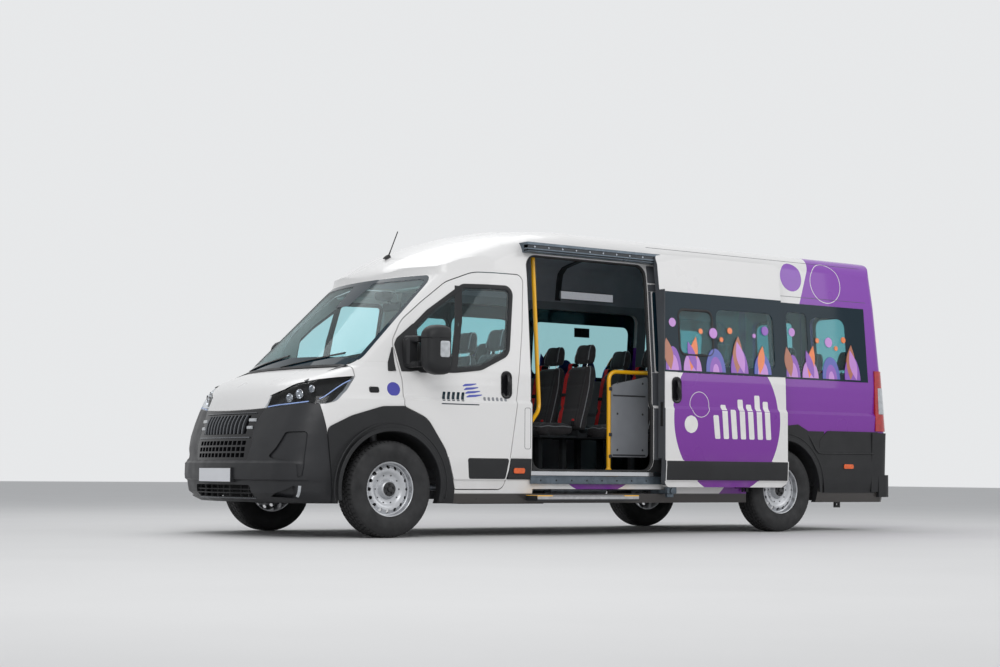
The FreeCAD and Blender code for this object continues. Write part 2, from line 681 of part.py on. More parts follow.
# Sliding door, slid back along its rails
lap = size["door_lap"]
SLIDER = window_outline(size["door_front"] + lap, size["door_rear"] - lap, 385, 2325, 60)
SLIDER_WINDOW = window_outline(size["door_front"] - 20, size["door_rear"] + 20, 1335, 2010, 80)
slid = Vector(-size["door_travel"], size["door_offset"], 0)
slider = shell.common(side_prism(SLIDER, SIDE_INNER, FAR))
slider = slider.cut(side_prism(SLIDER_WINDOW, SIDE_INNER, FAR))
slider = slider.fuse(trim_skin.common(side_prism(SLIDER, SIDE_INNER, FAR)).common(strip_zone))
node("sliding_door", slider, Placement(slid, Rotation()))
slider_pane = glass_skin.common(side_prism(SLIDER_WINDOW, SIDE_INNER, FAR, -PANE_GAP))
slider_pane.translate(slid)
panes.append(slider_pane)
node("side_glass", solids(*panes))
node("rear_hinges", solids(*body_hinges))

# Rails and arms that carry the sliding door
open_door = slider.copy()
open_door.translate(slid)
arm_x = size["door_rear"] - 170
rail_top = box((size["door_rear"] - 110, size["door_front"] + 25), (860, 985), (2242, 2324))
rail_top = rail_top.fuse(box((arm_x, arm_x + 80), (900, 1005), (2255, 2285)))
mid_rail = box((size["door_rear"] - 1500, size["door_rear"] - 60), (980, 1034), (1062, 1092))
mid_rail = mid_rail.fuse(box((-1640, -1560), (1030, 1100), (1064, 1090)))
lower_rail = box((size["door_rear"] - 180, size["door_front"] - 20), (880, 1000), (300, 326))
lower_rail = lower_rail.common(cavity)
lower_rail = lower_rail.fuse(box((arm_x, arm_x + 80), (885, 930), (310, 360)))
lower_rail = lower_rail.fuse(box((arm_x, arm_x + 80), (920, 1100), (332, 360)))
lower_rail = lower_rail.fuse(box((arm_x, arm_x + 80), (1070, 1100), (332, 440)))
rails = solids(rail_top.cut(outer).cut(open_door), mid_rail.cut(outer).cut(open_door),
               lower_rail.cut(open_door))
node("sliding_door_rails", rails)

# Wipers lie on the glass
wiper_skin = plan_stack(-16).cut(plan_stack(-PANE_GAP))
WIPERS = (
    ((-760, 1300), (-740, 1300), (-60, 1385), (-62, 1400)),
    ((-20, 1300), (0, 1300), (650, 1380), (648, 1395)),
)
blades = [wiper_skin.common(front_prism(outline, 2100, NOSE_AHEAD)) for outline in WIPERS]
node("wipers", solids(*blades))

# Cabin floor, bulkhead behind the engine and wheel housings
skin = size["liner_skin"]
housing = size["arch_radius"] + skin
floor_top = size["floor_height"]
floor_low = floor_top - size["floor_skin"]
floor = cavity.common(box((REAR_END, FRONT_AXLE - 560), (-FAR, FAR), (floor_low, floor_top)))
rear_wells = axle_cylinder(REAR_AXLE, housing, 760, 1100)
rear_wells = rear_wells.fuse(mirrored(rear_wells))
floor = floor.cut(rear_wells)
BULKHEAD = ((-561, 450), (-470, 450), (-290, 620), (-60, 1000), (120, 1225), (330, 1240),
            (330, 1262), (105, 1255), (-90, 1015), (-310, 640), (-480, 500), (-561, 500))
bulkhead = cavity.common(side_prism(from_axle(BULKHEAD), -FAR, FAR))
front_wells = axle_cylinder(FRONT_AXLE, housing, 514, 1100)
front_wells = front_wells.fuse(mirrored(front_wells))
bulkhead = bulkhead.cut(front_wells)
node("floor_pan", floor.fuse(bulkhead))

liners = []
for axle, inboard, low in ((FRONT_AXLE, 514, 520), (REAR_AXLE, 760, 450)):
    ring = axle_cylinder(axle, housing, inboard, 1100)
    ring = ring.cut(axle_cylinder(axle, size["arch_radius"], inboard + skin, 1100))
    ring = ring.common(box((-LONG, LONG), (0, FAR), (low, 1200))).common(cavity)
    liners.append(ring)
    liners.append(mirrored(ring))
node("wheel_housings", solids(*liners))

# Underframe
rail_gap = size["frame_rail_half_gap"]
rail_low = floor_low - size["frame_rail_tall"] / 2
long_rail = box((REAR_END + 120, FRONT_END - 160), (rail_gap, rail_gap + size["frame_rail_width"]),
                (rail_low, floor_low))
frame = long_rail.fuse(mirrored(long_rail))
CROSS_MEMBERS = (-2900, -2300, -1250, -500, 300, 1100, 2420, 2740, 2950)
for place in CROSS_MEMBERS:
    frame = frame.fuse(box((place - 30, place + 30), (-rail_gap - 1, rail_gap + 1),
                           (rail_low + 5, floor_low - 5)))
TOW_EYE = (-3034, 225, 15)
eye = box((-3068, -3000), (455, 475), (195, rail_low + 20))
eye = eye.cut(Part.makeCylinder(TOW_EYE[2], 60, Vector(TOW_EYE[0], 440, TOW_EYE[1]),
                                Vector(0, 1, 0)))
node("underframe", frame.fuse(eye))


# Masses and running gear under the floor
engine_x = FRONT_AXLE + 345
pad("engine", "XZ_Plane",
    (("-engine_length / 2", 0), ("engine_length / 2", 0),
     ("engine_length / 2", "engine_tall * 0.8"), ("engine_length / 4", "engine_tall"),
     ("-engine_length / 2", "engine_tall")),
    "engine_width", Placement(Vector(engine_x, 0, floor_low - 5 + size["seat_gap"]), Rotation()))
pad("fuel_tank", "YZ_Plane",
    (("-tank_width / 2", 30), ("-tank_width / 2 + 30", 0), ("tank_width / 2 - 30", 0),
     ("tank_width / 2", 30), ("tank_width / 2", "tank_tall"), ("-tank_width / 2", "tank_tall")),
    "tank_length",
    Placement(Vector(100, -rail_gap - size["frame_rail_width"] - size["tank_width"] / 2 - 0.3,
                     floor_low - size["tank_tall"] - 0.3), Rotation()))

PIPE = size["pipe_radius"]
pipe_low = rail_low - PIPE - 1
exhaust = Part.makeCylinder(PIPE, 4300, Vector(-2800, -190, pipe_low), Vector(1, 0, 0))
exhaust = exhaust.fuse(Part.makeCylinder(size["silencer_radius"], 620,
                                         Vector(-760, -190, pipe_low - 18),
                                         Vector(1, 0, 0)))
for place in (-2300, -1250, 300):
    exhaust = exhaust.fuse(box((place - 8, place + 8), (-205, -175),
                               (pipe_low, rail_low + 5 - size["seat_gap"])))
node("exhaust", exhaust)

half_track = size["rear_track"] / 2
STUB = 27.5
dish_place = size["dish_offset"]
beam = box((REAR_AXLE - 45, REAR_AXLE + 45), (-700, 700), (262, 330))
for side in (LEFT, RIGHT):
    beam = beam.fuse(box((REAR_AXLE - 60, REAR_AXLE + 60), (side * 690, side * 745), (262, 425)))
    stub = Part.makeCylinder(STUB, half_track + dish_place + 20 - 740,
                             Vector(REAR_AXLE, side * 740, HUB), Vector(0, side, 0))
    drum = Part.makeCylinder(82, 40, Vector(REAR_AXLE, side * 744, HUB), Vector(0, side, 0))
    beam = beam.fuse(stub).fuse(drum)
springs = []
for side in (LEFT, RIGHT):
    spring_y = side * (rail_gap + size["frame_rail_width"] / 2)
    reach = size["spring_length"] / 2
    leaf = side_prism(((REAR_AXLE - reach, rail_low - 26), (REAR_AXLE - reach, rail_low - 0.3),
                       (REAR_AXLE - reach + 60, rail_low - 0.3), (REAR_AXLE - 120, 356),
                       (REAR_AXLE + 120, 356), (REAR_AXLE + reach - 60, rail_low - 0.3),
                       (REAR_AXLE + reach, rail_low - 0.3), (REAR_AXLE + reach, rail_low - 26),
                       (REAR_AXLE + 120, 330.3), (REAR_AXLE - 120, 330.3)),
                      spring_y - 35, spring_y + 35)
    springs.append(leaf)
node("rear_axle", beam)
node("rear_springs", solids(*springs))

front_half = size["front_track"] / 2
KNUCKLE_Y = front_half - 70
ARM_TOP = 325
subframe = box((FRONT_AXLE - 230, FRONT_AXLE + 230), (-rail_gap - 60, rail_gap + 60), (290, 350))
subframe = subframe.cut(box((FRONT_AXLE - 120, FRONT_AXLE + 120), (-300, 300), (280, 360)))
suspension = subframe
for place in (-200, 200):
    suspension = suspension.fuse(box((FRONT_AXLE + place - 25, FRONT_AXLE + place + 25),
                                     (rail_gap, rail_gap + 60), (340, rail_low)))
    suspension = suspension.fuse(box((FRONT_AXLE + place - 25, FRONT_AXLE + place + 25),
                                     (-rail_gap - 60, -rail_gap), (340, rail_low)))
for side in (LEFT, RIGHT):
    arm = box((FRONT_AXLE - 40, FRONT_AXLE + 40), (side * (rail_gap + 50), side * (KNUCKLE_Y - 8)),
              (300, ARM_TOP - size["seat_gap"]))
    ball = Part.makeCylinder(16, ARM_TOP - size["seat_gap"] - 300,
                             Vector(FRONT_AXLE, side * KNUCKLE_Y, 300))
    carrier = box((FRONT_AXLE - 20, FRONT_AXLE + 20), (side * 255, side * 275), (300, HUB))
    suspension = suspension.fuse([arm, ball, carrier])
    shaft = Part.makeCylinder(16, KNUCKLE_Y - 320, Vector(FRONT_AXLE, side * 260, HUB),
                              Vector(0, side, 0))
    suspension = suspension.fuse(shaft)
node("front_suspension", suspension)

# Wheels. Tyre and rim outlines are pairs of (place along the axle, radius)
WHEELS = (
    ("front_left", FRONT_AXLE, LEFT, front_half), ("front_right", FRONT_AXLE, RIGHT, front_half),
    ("rear_left", REAR_AXLE, LEFT, half_track), ("rear_right", REAR_AXLE, RIGHT, half_track),
)
TYRE = (
    ("-rim_width / 2", "rim_radius - 15"), ("-tyre_width / 2", "tyre_radius - 75"),
    ("-tyre_width / 2 + 22", "tyre_radius - 8"), ("-tyre_width / 2 + 45", "tyre_radius"),
    ("tyre_width / 2 - 45", "tyre_radius"), ("tyre_width / 2 - 22", "tyre_radius - 8"),
    ("tyre_width / 2", "tyre_radius - 75"), ("rim_width / 2", "rim_radius - 15"),
)
RIM = (
    ("-rim_width / 2", "rim_radius - 15.3"), ("-rim_width / 2", "rim_radius - 24"),
    ("dish_offset - 24", "rim_radius - 32"), ("dish_offset - 2", "rim_radius - 64"),
    ("dish_offset - 4", "rim_radius - 88"), ("dish_offset - 22", "hub_radius + 46"),
    ("dish_offset - 24", "hub_radius + 14"), ("dish_offset - 10", "hub_radius - 34"),
    ("dish_offset + 24", "hub_radius - 34"), ("dish_offset + 24", "hub_radius - 8"),
    ("dish_offset + 18", "hub_radius"), ("dish_offset - 10", "hub_radius + 16"),
    ("dish_offset - 10", "hub_radius + 42"), ("dish_offset + 7", "rim_radius - 88"),
    ("dish_offset + 9", "rim_radius - 64"), ("dish_offset - 12", "rim_radius - 35"),
    ("dish_offset - 8", "rim_radius - 28"), ("rim_width / 2", "rim_radius - 24"),
    ("rim_width / 2", "rim_radius - 15.3"),
)
VENT_HOLES = 16
VENT_RADIUS = 14


def drill(body, label, place, radius):
    """A ring of round holes through a turned body, round its Y axis."""
    drawing = body.newObject("Sketcher::SketchObject", label + "_hole")
    drawing.AttachmentSupport = [(origin_plane(body, "XZ_Plane"), "")]
    drawing.MapMode = "FlatFace"
    centre = Vector(float(drawing.evalExpression(formula(place))), 0, 0)
    drawing.addGeometry(Part.Circle(centre, Vector(0, 0, 1), radius), False)
    drawing.addConstraint(Sketcher.Constraint("PointOnObject", 0, 3, -1))
    number = drawing.addConstraint(Sketcher.Constraint("DistanceX", -1, 1, 0, 3, centre.x))
    drawing.setExpression("Constraints[%d]" % number, formula(place))
    drawing.addConstraint(Sketcher.Constraint("Radius", 0, radius))
    pocket = body.newObject("PartDesign::Pocket", label + "_pocket")
    pocket.Profile = drawing
    pocket.Type = 1
    pocket.Midplane = True
    pattern = body.newObject("PartDesign::PolarPattern", label + "_holes")
    pattern.Originals = [pocket]
    pattern.Axis = (drawing, ["N_Axis"])
    pattern.Angle = 360
    pattern.Occurrences = VENT_HOLES
    drawing.Visibility = False
    body.Tip = pattern


for word, axle, side, place in WHEELS:
    turn = Rotation() if side == LEFT else Rotation(Vector(0, 0, 1), 180)
    at_hub = Placement(Vector(axle, side * place, HUB), turn)
    revolve("tyre_" + word, TYRE, at_hub)
    rim = revolve("rim_" + word, RIM, at_hub)
    drill(rim, "rim_" + word, "rim_radius - 55", VENT_RADIUS)

for side, word in ((LEFT, "left"), (RIGHT, "right")):
    y = side * KNUCKLE_Y
    upright = box((FRONT_AXLE - 40, FRONT_AXLE + 40), (y - side * 30, y + side * 7), (ARM_TOP, 527))
    clamp = box((FRONT_AXLE - 34, FRONT_AXLE + 34), (y - side * 125, y - side * 25), (487, 527))
    strut = Part.makeCylinder(27, 253, Vector(FRONT_AXLE, y - side * 95, 527))
    stub = Part.makeCylinder(STUB, 70 + dish_place + 20, Vector(FRONT_AXLE, y, HUB),
                             Vector(0, side, 0))
    disc = Part.makeCylinder(size["disc_radius"], 24,
                             Vector(FRONT_AXLE, y + side * size["disc_offset"], HUB),
                             Vector(0, side, 0))
    arm = box((FRONT_AXLE - 160, FRONT_AXLE - 30), (y - side * 28, y - side * 5), (395, 420))
    knuckle = upright.fuse([clamp, strut, stub, disc, arm])
    node("knuckle_" + word, knuckle)

# Mirrors
MIRROR = ((1075, 1235, 50), (1250, 1245, 60), (size["mirror_span"] / 2, 1540, 60), (1085, 1568, 60))
MIRROR_NOSE = ((1110, 1280, 40), (1225, 1290, 40), (1228, 1510, 40), (1120, 1525, 40))
MIRROR_GLASS = FRONT_AXLE - 357
MIRROR_SHOULDER = FRONT_AXLE - 245
MIRROR_FRONT = FRONT_AXLE - 190
MIRROR_ARMS = (1300, 1490)
for side, word in ((LEFT, "left"), (RIGHT, "right")):
    shape = front_prism(MIRROR, MIRROR_GLASS, MIRROR_SHOULDER)
    shoulder = rounded_wire(MIRROR, lambda p: Vector(MIRROR_SHOULDER, p.x, p.y))
    front = rounded_wire(MIRROR_NOSE, lambda p: Vector(MIRROR_FRONT, p.x, p.y))
    shape = shape.fuse(Part.makeLoft([shoulder, front], True, True))
    for height in MIRROR_ARMS:
        span = (height - 18, height + 18)
        shape = shape.fuse(box((FRONT_AXLE - 215, FRONT_AXLE - 165), (900, 1100), span))
        shape = shape.fuse(box((FRONT_AXLE - 300, FRONT_AXLE - 165), (1048, 1100), span))
    shape = shape.cut(outer)
    node("mirror_" + word, shape if side == LEFT else mirrored(shape))

# Cab inside
DASH = ((-330, 640), (-300, 1160), (-330, 1230), (-120, 1262), (90, 1262), (-90, 1050),
        (-290, 660))
dash = side_prism(from_axle(DASH), -900, 900).common(cavity.common(box((0, 4000), (-900, 900),
                                                                      (400, 1270))))
dash = dash.cut(floor.fuse(bulkhead)).cut(front_wells)
node("dashboard", solids(*sorted(dash.Solids, key=lambda solid: -solid.Volume)[:1]))

column = Vector(FRONT_AXLE - 445, -420, 1190)
wheel = new_body("steering_wheel")
grip = "wheel_grip_radius"
rim_outline = sketch(wheel, "steering_rim_outline", "XY_Plane", [
    ("wheel_rim_radius - %s" % grip, "-%s / 2" % grip), ("wheel_rim_radius", "-%s" % grip),
    ("wheel_rim_radius + %s" % grip, "-%s / 2" % grip),
    ("wheel_rim_radius + %s" % grip, "%s / 2" % grip), ("wheel_rim_radius", grip),
    ("wheel_rim_radius - %s" % grip, "%s / 2" % grip)])
rim_turned = wheel.newObject("PartDesign::Revolution", "steering_rim")
rim_turned.Profile = rim_outline
rim_turned.ReferenceAxis = (rim_outline, ["V_Axis"])
rim_turned.Angle = 360
spokes = sketch(wheel, "steering_spoke_outline", "XZ_Plane", [
    ("-wheel_rim_radius", -18), ("-60", -30), ("-45", -95), ("-20", "-wheel_rim_radius"),
    ("20", "-wheel_rim_radius"), ("45", -95), ("60", -30), ("wheel_rim_radius", -18),
    ("wheel_rim_radius", 18), ("60", 50), ("-60", 50), ("-wheel_rim_radius", 18)])
spoke_pad = wheel.newObject("PartDesign::Pad", "steering_spokes")
spoke_pad.Profile = spokes
spoke_pad.setExpression("Length", formula("wheel_grip_radius * 1.2"))
spoke_pad.Midplane = True
face_driver = Rotation(Vector(0, 0, 1), 90)
finish_body(wheel, spoke_pad, Placement(column, Rotation(Vector(0, 1, 0), size["column_rake"])
                                        * face_driver))
shaft_way = Rotation(Vector(0, 1, 0), size["column_rake"]).multVec(Vector(1, 0, 0))
hub_face = size["wheel_grip_radius"] * 0.6 + size["seat_gap"]
shaft = Part.makeCylinder(30, 190, column + shaft_way * hub_face, shaft_way)
node("steering_column", shaft.cut(dash))

# Seats. place along, place across, faces forward; cab seats first
SEATS = [(1480, -440), (1480, 230), (1480, 670)]
for row in range(4):
    place = size["first_row"] - row * size["row_pitch"]
    for across in (-size["seat_window_place"], -size["seat_aisle_place"]):
        SEATS.append((place, across))
for row in (2, 3):
    SEATS.append((size["first_row"] - row * size["row_pitch"], size["seat_window_place"]))
last = size["first_row"] - 4 * size["row_pitch"] - 20
for across in (-size["seat_window_place"], -size["seat_aisle_place"], size["seat_aisle_place"],
               size["seat_window_place"]):
    SEATS.append((last, across))
wide = size["cushion_wide"]
deep = size["cushion_deep"]
cushion_low = size["cushion_top"] - size["cushion_tall"]
lean = Rotation(Vector(0, 1, 0), -size["back_lean"])


def block(length, width, tall, corner):
    """A pad with rounded front and back edges, centred on its base."""
    outline = ((-length / 2, 0, corner), (length / 2, 0, corner), (length / 2, tall, corner),
               (-length / 2, tall, corner))
    return side_prism(outline, -width / 2, width / 2)


cushions = []
backs = []
headrests = []
frames = []
for place, across in SEATS:
    cushion = block(deep, wide, size["cushion_tall"], 35)
    cushion.translate(Vector(place, across, cushion_low))
    cushions.append(cushion)
    foot = Vector(place - deep / 2 - 56, across, cushion_low + 20)
    back = block(size["back_thick"], wide - 20, size["back_tall"], 30)
    back.Placement = Placement(foot, lean)
    backs.append(back)
    rest = block(size["headrest_thick"], size["headrest_wide"], size["headrest_tall"], 30)
    up = lean.multVec(Vector(0, 0, size["back_tall"] + size["seat_gap"]))
    rest.Placement = Placement(foot + up, lean)
    headrests.append(rest)
    pan = box((place - deep / 2 + 20, place + deep / 2 - 20), (across - wide / 2 + 20,
                                                               across + wide / 2 - 20),
              (cushion_low - 20, cushion_low - size["seat_gap"]))
    leg_top = cushion_low - 18
    for reach in (-150, 110):
        inboard = across - math.copysign(90, across)
        pan = pan.fuse(box((place + reach, place + reach + 40), (inboard - 25, inboard + 25),
                           (size["floor_height"], leg_top)))
    pan = pan.fuse(box((place - 190, place + 200), (inboard - 30, inboard + 30),
                       (size["floor_height"], size["floor_height"] + 12)))
    hinge = box((place - deep / 2 - 60, place - deep / 2 + 60),
                (across - wide / 2 + 30, across + wide / 2 - 30),
                (cushion_low - 20, cushion_low - 8))
    bracket = box((place - deep / 2 - 112, place - deep / 2 - 12),
                  (across - wide / 2 + 30, across + wide / 2 - 30),
                  (cushion_low - 20, cushion_low + 45))
    frames.append(pan.fuse(hinge).fuse(bracket).cut(back).cut(cushion))
node("seat_cushions", solids(*cushions))
node("seat_backs", solids(*backs))
node("headrests", solids(*headrests))
node("seat_frames", solids(*frames))

# Grab rails, entrance panel, step and aerial
pole_r = size["rail_radius"]
post_x = size["post_place"]
high = 1340
post = bent_tube(((post_x, 750, floor_top), (post_x, 750, high), (post_x - 560, 750, high)),
                 pole_r, 80)
pole = bent_tube(((776, 900, 2300), (776, 800, 2170), (705, 800, 1000), (975, 990, 830)),
                 pole_r, 60)
pole = pole.common(cavity)
node("grab_rails", solids(post, pole))
panel_x = post_x - pole_r - size["seat_gap"]
PANEL = ((panel_x, floor_top + 130, 30), (panel_x, high - 110, 60),
         (post_x - 420, high - 30, 20), (post_x - 420, floor_top + 130, 30))
node("modesty_panel", side_prism(PANEL, 741, 759))

step_y = half_width_at(size["step_height"] + size["step_tall"]) + size["seat_gap"]
step_x = (size["door_front"] + size["door_rear"]) / 2 + 150
pad("side_step", "XZ_Plane",
    (("-step_length / 2", 0), ("step_length / 2", 0), ("step_length / 2", "step_tall"),
     ("-step_length / 2", "step_tall")),
    "step_width",
    Placement(Vector(step_x, step_y + size["step_width"] / 2, size["step_height"]), Rotation()))
aerial_x = FRONT_AXLE - 575
aerial = Part.makeCylinder(26, 22, Vector(aerial_x, 0, 2225))
aerial = aerial.fuse(Part.makeCone(5, 2.5, 235, Vector(aerial_x, 0, 2240), Vector(-0.45, 0, 1)))
aerial = aerial.cut(outer)
node("aerial", aerial)
doc.recompute()
PARTS = [item for item in doc.Objects if item.TypeId in ("Part::Feature", "PartDesign::Body")]
for item in doc.Objects:
    if "Invalid" in item.State or "Error" in item.State:
        raise RuntimeError(item.Name)
for item in PARTS:
    shape = item.Shape
    if shape.isNull() or not shape.isValid():
        raise RuntimeError("bad shape: " + item.Label)
    shape.exportStep("parts/" + item.Label + ".step")
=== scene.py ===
import math
from itertools import product

import bmesh
import bpy
from mathutils import Matrix, Vector
from mathutils.bvhtree import BVHTree


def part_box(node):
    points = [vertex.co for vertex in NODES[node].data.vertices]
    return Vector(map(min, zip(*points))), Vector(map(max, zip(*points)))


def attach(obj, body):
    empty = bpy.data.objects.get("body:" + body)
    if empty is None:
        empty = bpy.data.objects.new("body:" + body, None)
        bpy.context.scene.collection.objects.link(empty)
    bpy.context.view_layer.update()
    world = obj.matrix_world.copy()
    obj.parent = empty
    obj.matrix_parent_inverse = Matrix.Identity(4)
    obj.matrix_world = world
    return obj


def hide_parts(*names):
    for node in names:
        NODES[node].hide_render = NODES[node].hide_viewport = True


# A long, high-roofed minibus with its sliding side door open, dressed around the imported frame.
# Metres, +X forward, +Y to the vehicle's left, +Z up.
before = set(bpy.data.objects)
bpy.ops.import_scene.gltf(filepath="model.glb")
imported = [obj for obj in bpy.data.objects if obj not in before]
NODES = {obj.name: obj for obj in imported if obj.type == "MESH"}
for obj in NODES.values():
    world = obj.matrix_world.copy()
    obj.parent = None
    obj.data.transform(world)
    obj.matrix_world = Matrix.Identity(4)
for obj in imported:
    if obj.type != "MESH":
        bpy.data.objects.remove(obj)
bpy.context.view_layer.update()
LEFT, RIGHT = 1, -1
SIDES = ((LEFT, "left"), (RIGHT, "right"))
FAR = 3.0
UP = Vector((0, 0, 1))


def middle(node):
    low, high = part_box(node)
    return (low + high) / 2


FRONT_AXLE = middle("tyre_front_left").x
REAR_AXLE = middle("tyre_rear_left").x
HUB = middle("tyre_front_left").z
TYRE_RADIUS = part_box("tyre_front_left")[1].z - HUB
ARCH_RADIUS = 0.430

# The photograph's camera, worked out from its wheels, plate and body lines
PHOTO_WIDTH = 1000
FOCAL_PIXELS = 1850.18
CAMERA_PLACE = Vector((9.6636, 12.7068, 0.487))
CAMERA_YAW = -2.1944
CAMERA_PITCH = 0.0754
CAMERA_ROLL = 0.0084
SENSOR = 36


def make_camera():
    data = bpy.data.cameras.new("camera")
    data.sensor_width = SENSOR
    data.lens = FOCAL_PIXELS / PHOTO_WIDTH * SENSOR
    forward = Vector((math.cos(CAMERA_YAW) * math.cos(CAMERA_PITCH),
                      math.sin(CAMERA_YAW) * math.cos(CAMERA_PITCH), math.sin(CAMERA_PITCH)))
    level = forward.cross(UP).normalized()
    raised = level.cross(forward)
    right = math.cos(CAMERA_ROLL) * level + math.sin(CAMERA_ROLL) * raised
    up = math.cos(CAMERA_ROLL) * raised - math.sin(CAMERA_ROLL) * level
    camera = bpy.data.objects.new("camera", data)
    camera.matrix_world = (Matrix.Translation(CAMERA_PLACE)
                           @ Matrix((right, up, -forward)).transposed().to_4x4())
    bpy.context.scene.collection.objects.link(camera)
    bpy.context.scene.camera = camera


# Materials

class Nodes:
    """A node tree, with short names for making and joining its nodes."""

    def __init__(self, tree):
        self.tree = tree

    def add(self, kind, *values, **settings):
        made = self.tree.nodes.new(kind)
        for key, value in settings.items():
            setattr(made, key, value)
        for socket, value in zip(made.inputs, values):
            self.join(value, socket)
        return made

    def join(self, value, socket):
        if isinstance(value, bpy.types.NodeSocket):
            self.tree.links.new(value, socket)
        elif value is not None:
            socket.default_value = value

    def math(self, operation, *values):
        return self.add("ShaderNodeMath", *values, operation=operation).outputs[0]


class Finish(Nodes):
    """A material's node tree, with short names for what the finishes here need."""

    def __init__(self, name, color, roughness, metallic=0.0):
        self.material = bpy.data.materials.new(name)
        self.material.use_nodes = True
        super().__init__(self.material.node_tree)
        self.shader = self.tree.nodes["Principled BSDF"]
        self.place = self.add("ShaderNodeTexCoord").outputs["Object"]
        self.color = color
        self.set("Base Color", (*color, 1))
        self.set("Roughness", roughness)
        self.set("Metallic", metallic)

    def set(self, name, value):
        self.join(value, self.shader.inputs[name])

    def axes(self):
        return self.add("ShaderNodeSeparateXYZ", self.place).outputs

    def noise(self, scale, detail=3.0):
        made = self.add("ShaderNodeTexNoise", self.place)
        made.inputs["Scale"].default_value = scale
        made.inputs["Detail"].default_value = detail
        return made.outputs["Fac"]

    def ramp(self, value, low, high, to_low=0.0, to_high=1.0):
        return self.add("ShaderNodeMapRange", value, low, high, to_low, to_high).outputs[0]

    def mix(self, share, first, second):
        made = self.add("ShaderNodeMix", data_type="RGBA")
        self.join(share, made.inputs["Factor"])
        for value, socket in zip((first, second), [one for one in made.inputs if one.type == "RGBA"]):
            self.join((*value, 1) if isinstance(value, tuple) else value, socket)
        return next(one for one in made.outputs if one.type == "RGBA")

    def bump(self, height, strength, distance=0.001):
        made = self.add("ShaderNodeBump")
        made.inputs["Strength"].default_value = strength
        made.inputs["Distance"].default_value = distance
        self.join(height, made.inputs["Height"])
        self.set("Normal", made.outputs["Normal"])
        return self

    def brighten(self, share):
        """The base colour times a value."""
        bright = self.add("ShaderNodeVectorMath", self.color, operation="SCALE")
        self.join(share, bright.inputs["Scale"])
        self.set("Base Color", bright.outputs[0])
        return self

    def vary(self, share, scale=4.0):
        """The colour drifts a little over the surface."""
        return self.brighten(self.ramp(self.noise(scale), 0.3, 0.7, 1 - share, 1 + share))

    def worn(self, low, high, scale=6.0):
        """The gloss drifts between two roughnesses."""
        self.set("Roughness", self.ramp(self.noise(scale), 0.3, 0.7, low, high))
        return self


def within_ellipse(finish, x, z, place, high, radii):
    """1 inside an ellipse seen from the side, 0 outside."""
    across = finish.math("DIVIDE", finish.math("SUBTRACT", x, place), radii[0])
    up = finish.math("DIVIDE", finish.math("SUBTRACT", z, high), radii[1])
    spread = finish.math("ADD", finish.math("MULTIPLY", across, across), finish.math("MULTIPLY", up, up))
    return finish.math("LESS_THAN", spread, 1.0)


WHITE = (0.78, 0.77, 0.76)
PURPLE_HIGH = (0.24, 0.045, 0.43)
PURPLE_LOW = (0.175, 0.012, 0.29)
QUARTER_PLACE = -2.079
QUARTER_HEIGHT = 2.011
QUARTER_SLOPE = 0.429
FIELD_HEIGHT = 0.955
FIELD_RADII = (0.605, 0.63)
OPEN_FIELD = -1.037
SHUT_FIELD = 0.27


def paintwork(name, kind):
    """White coachwork paint with the purple areas of one kind of panel."""
    finish = Finish(name, WHITE, 0.3)
    x, y, z = finish.axes()
    purple = finish.mix(finish.ramp(z, 0.4, 2.2), PURPLE_LOW, PURPLE_HIGH)
    slanted = finish.math("SUBTRACT", QUARTER_PLACE + QUARTER_SLOPE * QUARTER_HEIGHT,
                          finish.math("MULTIPLY", z, QUARTER_SLOPE))
    tail = finish.math("LESS_THAN", x, slanted)
    if kind == "panel":
        rise = finish.math("SUBTRACT", z, 0.9)
        curve = finish.math("ADD", finish.math("MULTIPLY", finish.math("MULTIPLY", rise, rise), 0.9), -1.35)
        low_tail = finish.math("LESS_THAN", x, curve)
        above = finish.math("GREATER_THAN", z, 1.7)
        tail = finish.math("ADD", finish.math("MULTIPLY", above, tail),
                           finish.math("MULTIPLY", finish.math("SUBTRACT", 1.0, above), low_tail))
        shown = finish.math("MAXIMUM", finish.math("LESS_THAN", y, 0.0), finish.math("LESS_THAN", z, 0.45))
        field = finish.math("MULTIPLY", shown,
                            within_ellipse(finish, x, z, SHUT_FIELD, FIELD_HEIGHT, FIELD_RADII))
        mask = finish.math("MAXIMUM", tail, field)
    elif kind == "door":
        mask = within_ellipse(finish, x, z, OPEN_FIELD, FIELD_HEIGHT, FIELD_RADII)
    elif kind == "tail":
        mask = 1.0
    elif kind == "roof":
        mask = tail
    else:
        mask = 0.0
    color = finish.mix(mask, WHITE, purple)
    # The paint is darker and browner towards the bottom, in patches.
    lower_darkening = finish.math("MULTIPLY", finish.ramp(z, 0.7, 0.25), finish.ramp(finish.noise(5.0), 0.35, 0.8))
    color = finish.mix(finish.math("MULTIPLY", lower_darkening, 0.25), color, (0.35, 0.32, 0.28))
    # Painted shade: the turned-under sill below about 0.33 m, reaching 6 cm higher behind x = -2, is painted
    # near-black.
    underside_shade_level = finish.math("ADD", z, finish.ramp(x, -1.9, -2.0, 0.0, -0.06))
    color = finish.mix(finish.ramp(underside_shade_level, 0.336, 0.326), color, (0.055, 0.050, 0.047))
    finish.set("Base Color", color)
    finish.worn(0.26, 0.36, 3.0)
    finish.set("Specular IOR Level", 0.25)
    finish.set("Coat Weight", 0.5)
    finish.set("Coat Roughness", 0.04)
    finish.bump(finish.noise(260.0, 2.0), 0.015)
    return finish.material


def moulded(name, color, low, high, grain=0.18, specular=0.5):
    """Grained moulded plastic."""
    finish = Finish(name, color, low)
    finish.vary(0.12, 3.0)
    finish.worn(low, high, 9.0)
    finish.set("Specular IOR Level", specular)
    return finish.bump(finish.noise(1400.0, 4.0), grain, 0.0006).material


